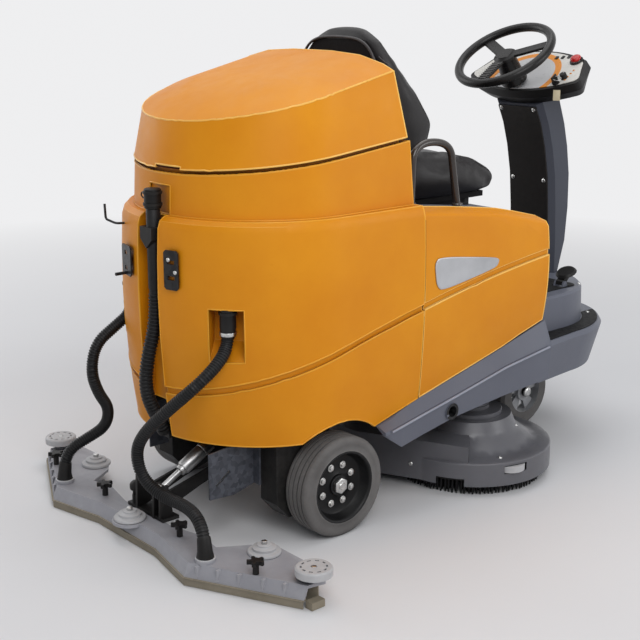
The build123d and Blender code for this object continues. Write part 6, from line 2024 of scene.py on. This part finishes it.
@dataclass
class DriverStation(Assembly):
    """Column, console, steering wheel, switches and pedal. Places on the console are along it, across and up.

    Attributes:
        cover_screws: Y and Z of the column cover's screws.
        face_middle: Middle of the crescent, in metres.
        field_edge: Radii between field and crescent, in metres.
        crescent_edge: Radii between crescent and face, in metres.
        key_ring: Half width, half length, lean, middle and height, in metres.
        tag_pixel: Pixel of the photograph that shows the tag.
        tag_gap: Distance of the tag from the housing, in metres.
        wheel_rim: Radius of the steering wheel and of its rim, in metres.
        spokes: Direction of each spoke in degrees.
        spoke_middle: Middle of a spoke, before it is turned.
        ribs: Distance of the first rib, step and number on the rearmost spoke.
    """

    console: Point = (700.0, 0.0, 1203.0)
    tilt: float = 33.0
    cover_screws: Points = ((72, 1132), (70, 880))
    face_middle: Point = (0.062, 0.0, 0.003)
    field_edge: Pair = (0.1200, 0.1208)
    crescent_edge: Pair = (0.1425, 0.1433)
    stop: Point = (170, -163, 0)
    mushroom: Profile = (
        (0, -20), (4.6, -20), (4.6, 11), (16.5, 11), (18.6, 12), (19, 14.5), (18, 18.5), (14.5, 21.6),
        (8, 23), (0, 23.2))
    collar: Profile = ((19.8, 3), (23.6, 3), (23.6, 6.4), (21.8, 8.4), (19.8, 8.4), (19.8, 3))
    knob: Point = (74, -176, 0)
    knob_line: Profile = (
        (0, -15), (4.6, -15), (4.6, 3.4), (13, 3.4), (13, 6), (12, 8), (11.2, 20), (10, 21.2), (0, 21.2))
    knob_mark: Point = (80, -176, 21.4)
    mark_size: Point = (8, 1.6, 1.0)
    lamp_line: Profile = ((0, 2.8), (4, 2.8), (4, 3.6), (3, 4.8), (0, 5.2))
    lamps: Points = ((118, -186, 0), (100, -186, 0), (82, -186, 0), (64, -186, 0))
    blanks: Points = ((190, -118, 4.4), (186, -94, 4.4), (182, -70, 4.4))
    blank_size: Point = (15, 11, 4)
    key: Point = (42, -164, 0)
    key_ring: tuple[float, float, float, float, float] = (0.011, 0.014, 0.004, -0.012, 0.024)
    tag_pixel: Point = (557, 94)
    tag_size: Point = (24, 2.4, 44)
    tag_gap: float = 0.004
    wheel: Point = (26, 0, 122)
    wheel_rim: Pair = (0.165, 0.0155)
    spokes: tuple[float, ...] = (60, 180, 300)
    spoke_size: Point = (136, 38, 11)
    spoke_middle: Point = (92, 0, -6)
    ribs: tuple[int, int, int] = (52, 9, 10)
    rib_size: Point = (4, 34, 3)
    boot: Profile = (
        (0, -170), (12, -170), (12, -107), (44, -107), (45, -104), (42, -96), (38, -60), (34, -20),
        (36, -12), (40, -10), (40, -2), (38, 0), (30, 3), (28, 6.4), (0, 7))

    def place(self, spot: Point) -> Matrix:
        """Frame on the console at a place in millimetres."""
        turn = Matrix.Rotation(-math.radians(self.tilt), 4, "Y")
        return Matrix.Translation(mm(*self.console)) @ turn @ Matrix.Translation(mm(*spot))

    def build(self) -> None:
        """Make the driver's place."""
        self.shop.refine("column_shell", COLUMN, 0.006, 3, 30.0, 36.0)
        cover = self.shop.refine("column_cover", COVER, 0.0015, 2, 40.0)
        rays = [((0.4, *mm(sign * y, z)), (1, 0, 0)) for y, z in self.cover_screws for sign in (-1, 1)]
        self.shop.screws("cover_screws", Probe(cover), rays, "frame", 0.008)
        housing = self.shop.refine("console_housing", BLACK, 0.004, 3)
        self.tag(housing)
        panel = self.shop.refine("console_panel", PALE, 0.001)
        panel.data.materials.clear()
        panel.data.materials.append(self.panel_face())
        self.shop.refine("pedal", BLACK, 0.0018, 3)
        self.shop.refine("key", BLACK, 0.0009, 2)
        self.switches()
        self.steering_wheel()

    def panel_face(self) -> bpy.types.Material:
        """Console face: pale, with an orange crescent round a grey field.

        Returns:
            Its material.
        """
        dye = Dye(FACE)
        local = dye.node("ShaderNodeMapping", Location=mm(*self.console),
                         Rotation=(0.0, -math.radians(self.tilt), 0.0))
        local.vector_type = "TEXTURE"
        dye.join(dye.place, local.inputs["Vector"])
        arm = dye.vector_step("SUBTRACT", local.outputs["Vector"])
        arm.inputs[1].default_value = self.face_middle
        far = dye.vector_step("LENGTH", arm.outputs["Vector"]).outputs["Value"]
        inner = dye.blend(dye.ranged(far, self.field_edge), tone(FACE_FIELD), tone(FACE_CRESCENT))
        return dye.mix(dye.blend(dye.ranged(far, self.crescent_edge), inner, dye.colour()))

    def fit(self, name: str, line: Profile, spot: Point, steps: int, smooth: float) -> Piece:
        """Turned piece that stands on the console.

        Args:
            name: Name of the piece.
            line: Its section.
            spot: Its place on the console.
            steps: Steps round.
            smooth: Edges blunter than this many degrees are shaded smooth.

        Returns:
            The piece.
        """
        piece = Bench.turned(name, line, (0, 0, 0), UP, steps, 0.0)
        Bench.turn(piece, self.place(spot))
        Bench.soften(piece, smooth)
        return piece

    def block(self, name: str, size: Point, spot: Point, edge: float) -> Piece:
        """Rounded block that lies on the console.

        Args:
            name: Name of the piece.
            size: Its size.
            spot: Its place on the console.
            edge: Rounding of its edges in metres.

        Returns:
            The piece.
        """
        piece = Bench.slab(name, mm(*size), (0, 0, 0), edge)
        Bench.turn(piece, self.place(spot))
        return piece

    def switches(self) -> None:
        """Stop button, rotary knob, lamps and blank keys."""
        button = self.fit("stop_mushroom", self.mushroom, self.stop, 40, 50.0)
        self.shop.dress(button, RED, "stop_button", "stop_button")
        collar = self.fit("stop_collar", self.collar, self.stop, 40, ROUND_ANGLE)
        self.shop.dress(collar, BLACK, "console_housing")
        knob = self.fit("rotary_knob", self.knob_line, self.knob, 36, ROUND_ANGLE)
        self.shop.dress(knob, BLACK, "console_knob", "console_knob")
        mark = self.block("knob_mark", self.mark_size, self.knob_mark, 0.0003)
        self.shop.dress(mark, PALE, "console_panel", body="console_knob")
        lamps = [self.fit("lamp", self.lamp_line, spot, 20, 50.0) for spot in self.lamps]
        self.shop.dress(Bench.merge("console_lamps", lamps), LENS, "console_panel")
        keys = [self.block("blank_key", self.blank_size, spot, 0.0008) for spot in self.blanks]
        self.shop.dress(Bench.merge("blank_keys", keys), BLACK, "console_housing")

    def tag(self, housing: Piece) -> None:
        """Blank tag on a ring through the key's head, against the console's edge.

        Args:
            housing: Console housing that the tag hangs against.
        """
        wide, long, lean, back, rise = self.key_ring
        turns = [2 * math.pi * k / 24 for k in range(26)]
        arms = [Vector((wide * math.cos(turn), back + long * math.sin(turn), rise + lean * math.sin(turn)))
                for turn in turns]
        hang = self.place(self.key)
        ring = Line.through([hang @ arm for arm in arms])
        self.shop.dress(ring.bead("key_ring", 0.0011, 40, 8), BOLT, "rear_brackets", body="frame")
        plate = Bench.slab("key_tag", mm(*self.tag_size), (0, 0, 0), 0.0009)
        studio = Studio()
        spot, normal = Probe(housing).hit(studio.eye, studio.sight(self.tag_pixel))
        heading = Matrix.Rotation(math.atan2(normal.x, -normal.y), 4, "Z")
        clear = Vector((normal.x, normal.y, 0)).normalized() * self.tag_gap
        Bench.turn(plate, Matrix.Translation(spot + clear) @ heading)
        self.shop.dress(plate, TAG, "console_panel")

    def steering_wheel(self) -> None:
        """Rim, three spokes, hub and boot on the steering shaft."""
        Bench.clear()
        radius, thick = self.wheel_rim
        bpy.ops.mesh.primitive_torus_add(major_radius=radius, minor_radius=thick, major_segments=96,
                                         minor_segments=20)
        ring = bpy.context.object
        with Bench.edit(ring, "FACE"):
            Bench.pick(ring, lambda f: f.calc_center_median().z < -0.009)
            bpy.ops.transform.resize(value=(1.0, 1.0, 0.94))
        parts = [ring]
        for angle in self.spokes:
            spoke = Bench.slab("spoke", mm(*self.spoke_size), mm(*self.spoke_middle), 0.004)
            Bench.turn(spoke, Matrix.Rotation(math.radians(angle), 4, "Z"))
            parts.append(spoke)
        parts.append(Bench.turned("boot", self.boot, (0, 0, 0), UP, 48, 0.0))
        wheel = Bench.merge("wheel_rim", parts)
        Bench.turn(wheel, self.place(self.wheel))
        Bench.soften(wheel, ROUND_ANGLE)
        self.shop.dress(wheel, WHEEL, "steering_wheel", "steering_wheel")
        first, step, count = self.ribs
        spots = [mm(first + step * k, 0, 1) for k in range(count)]
        ribs = [Bench.slab("rib", mm(*self.rib_size), spot, 0.001) for spot in spots]
        plate = Bench.merge("spoke_ribs", ribs)
        Bench.turn(plate, self.place(self.wheel) @ Matrix.Rotation(math.pi, 4, "Z"))
        self.shop.dress(plate, SPOKE, "steering_wheel")


def main() -> None:
    """Load the frame, build every sub-assembly and note the sizes."""
    logging.basicConfig(level=logging.INFO, format="%(name)s %(message)s")
    shop = Shop(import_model())
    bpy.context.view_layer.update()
    Bench.clear()
    Studio().build()
    for assembly in (Hoses, Bodywork, Chassis, DriverStation, Seat, RunningGear, BrushDeck, Squeegee):
        assembly(shop).build()


if __name__ == "__main__":
    main()
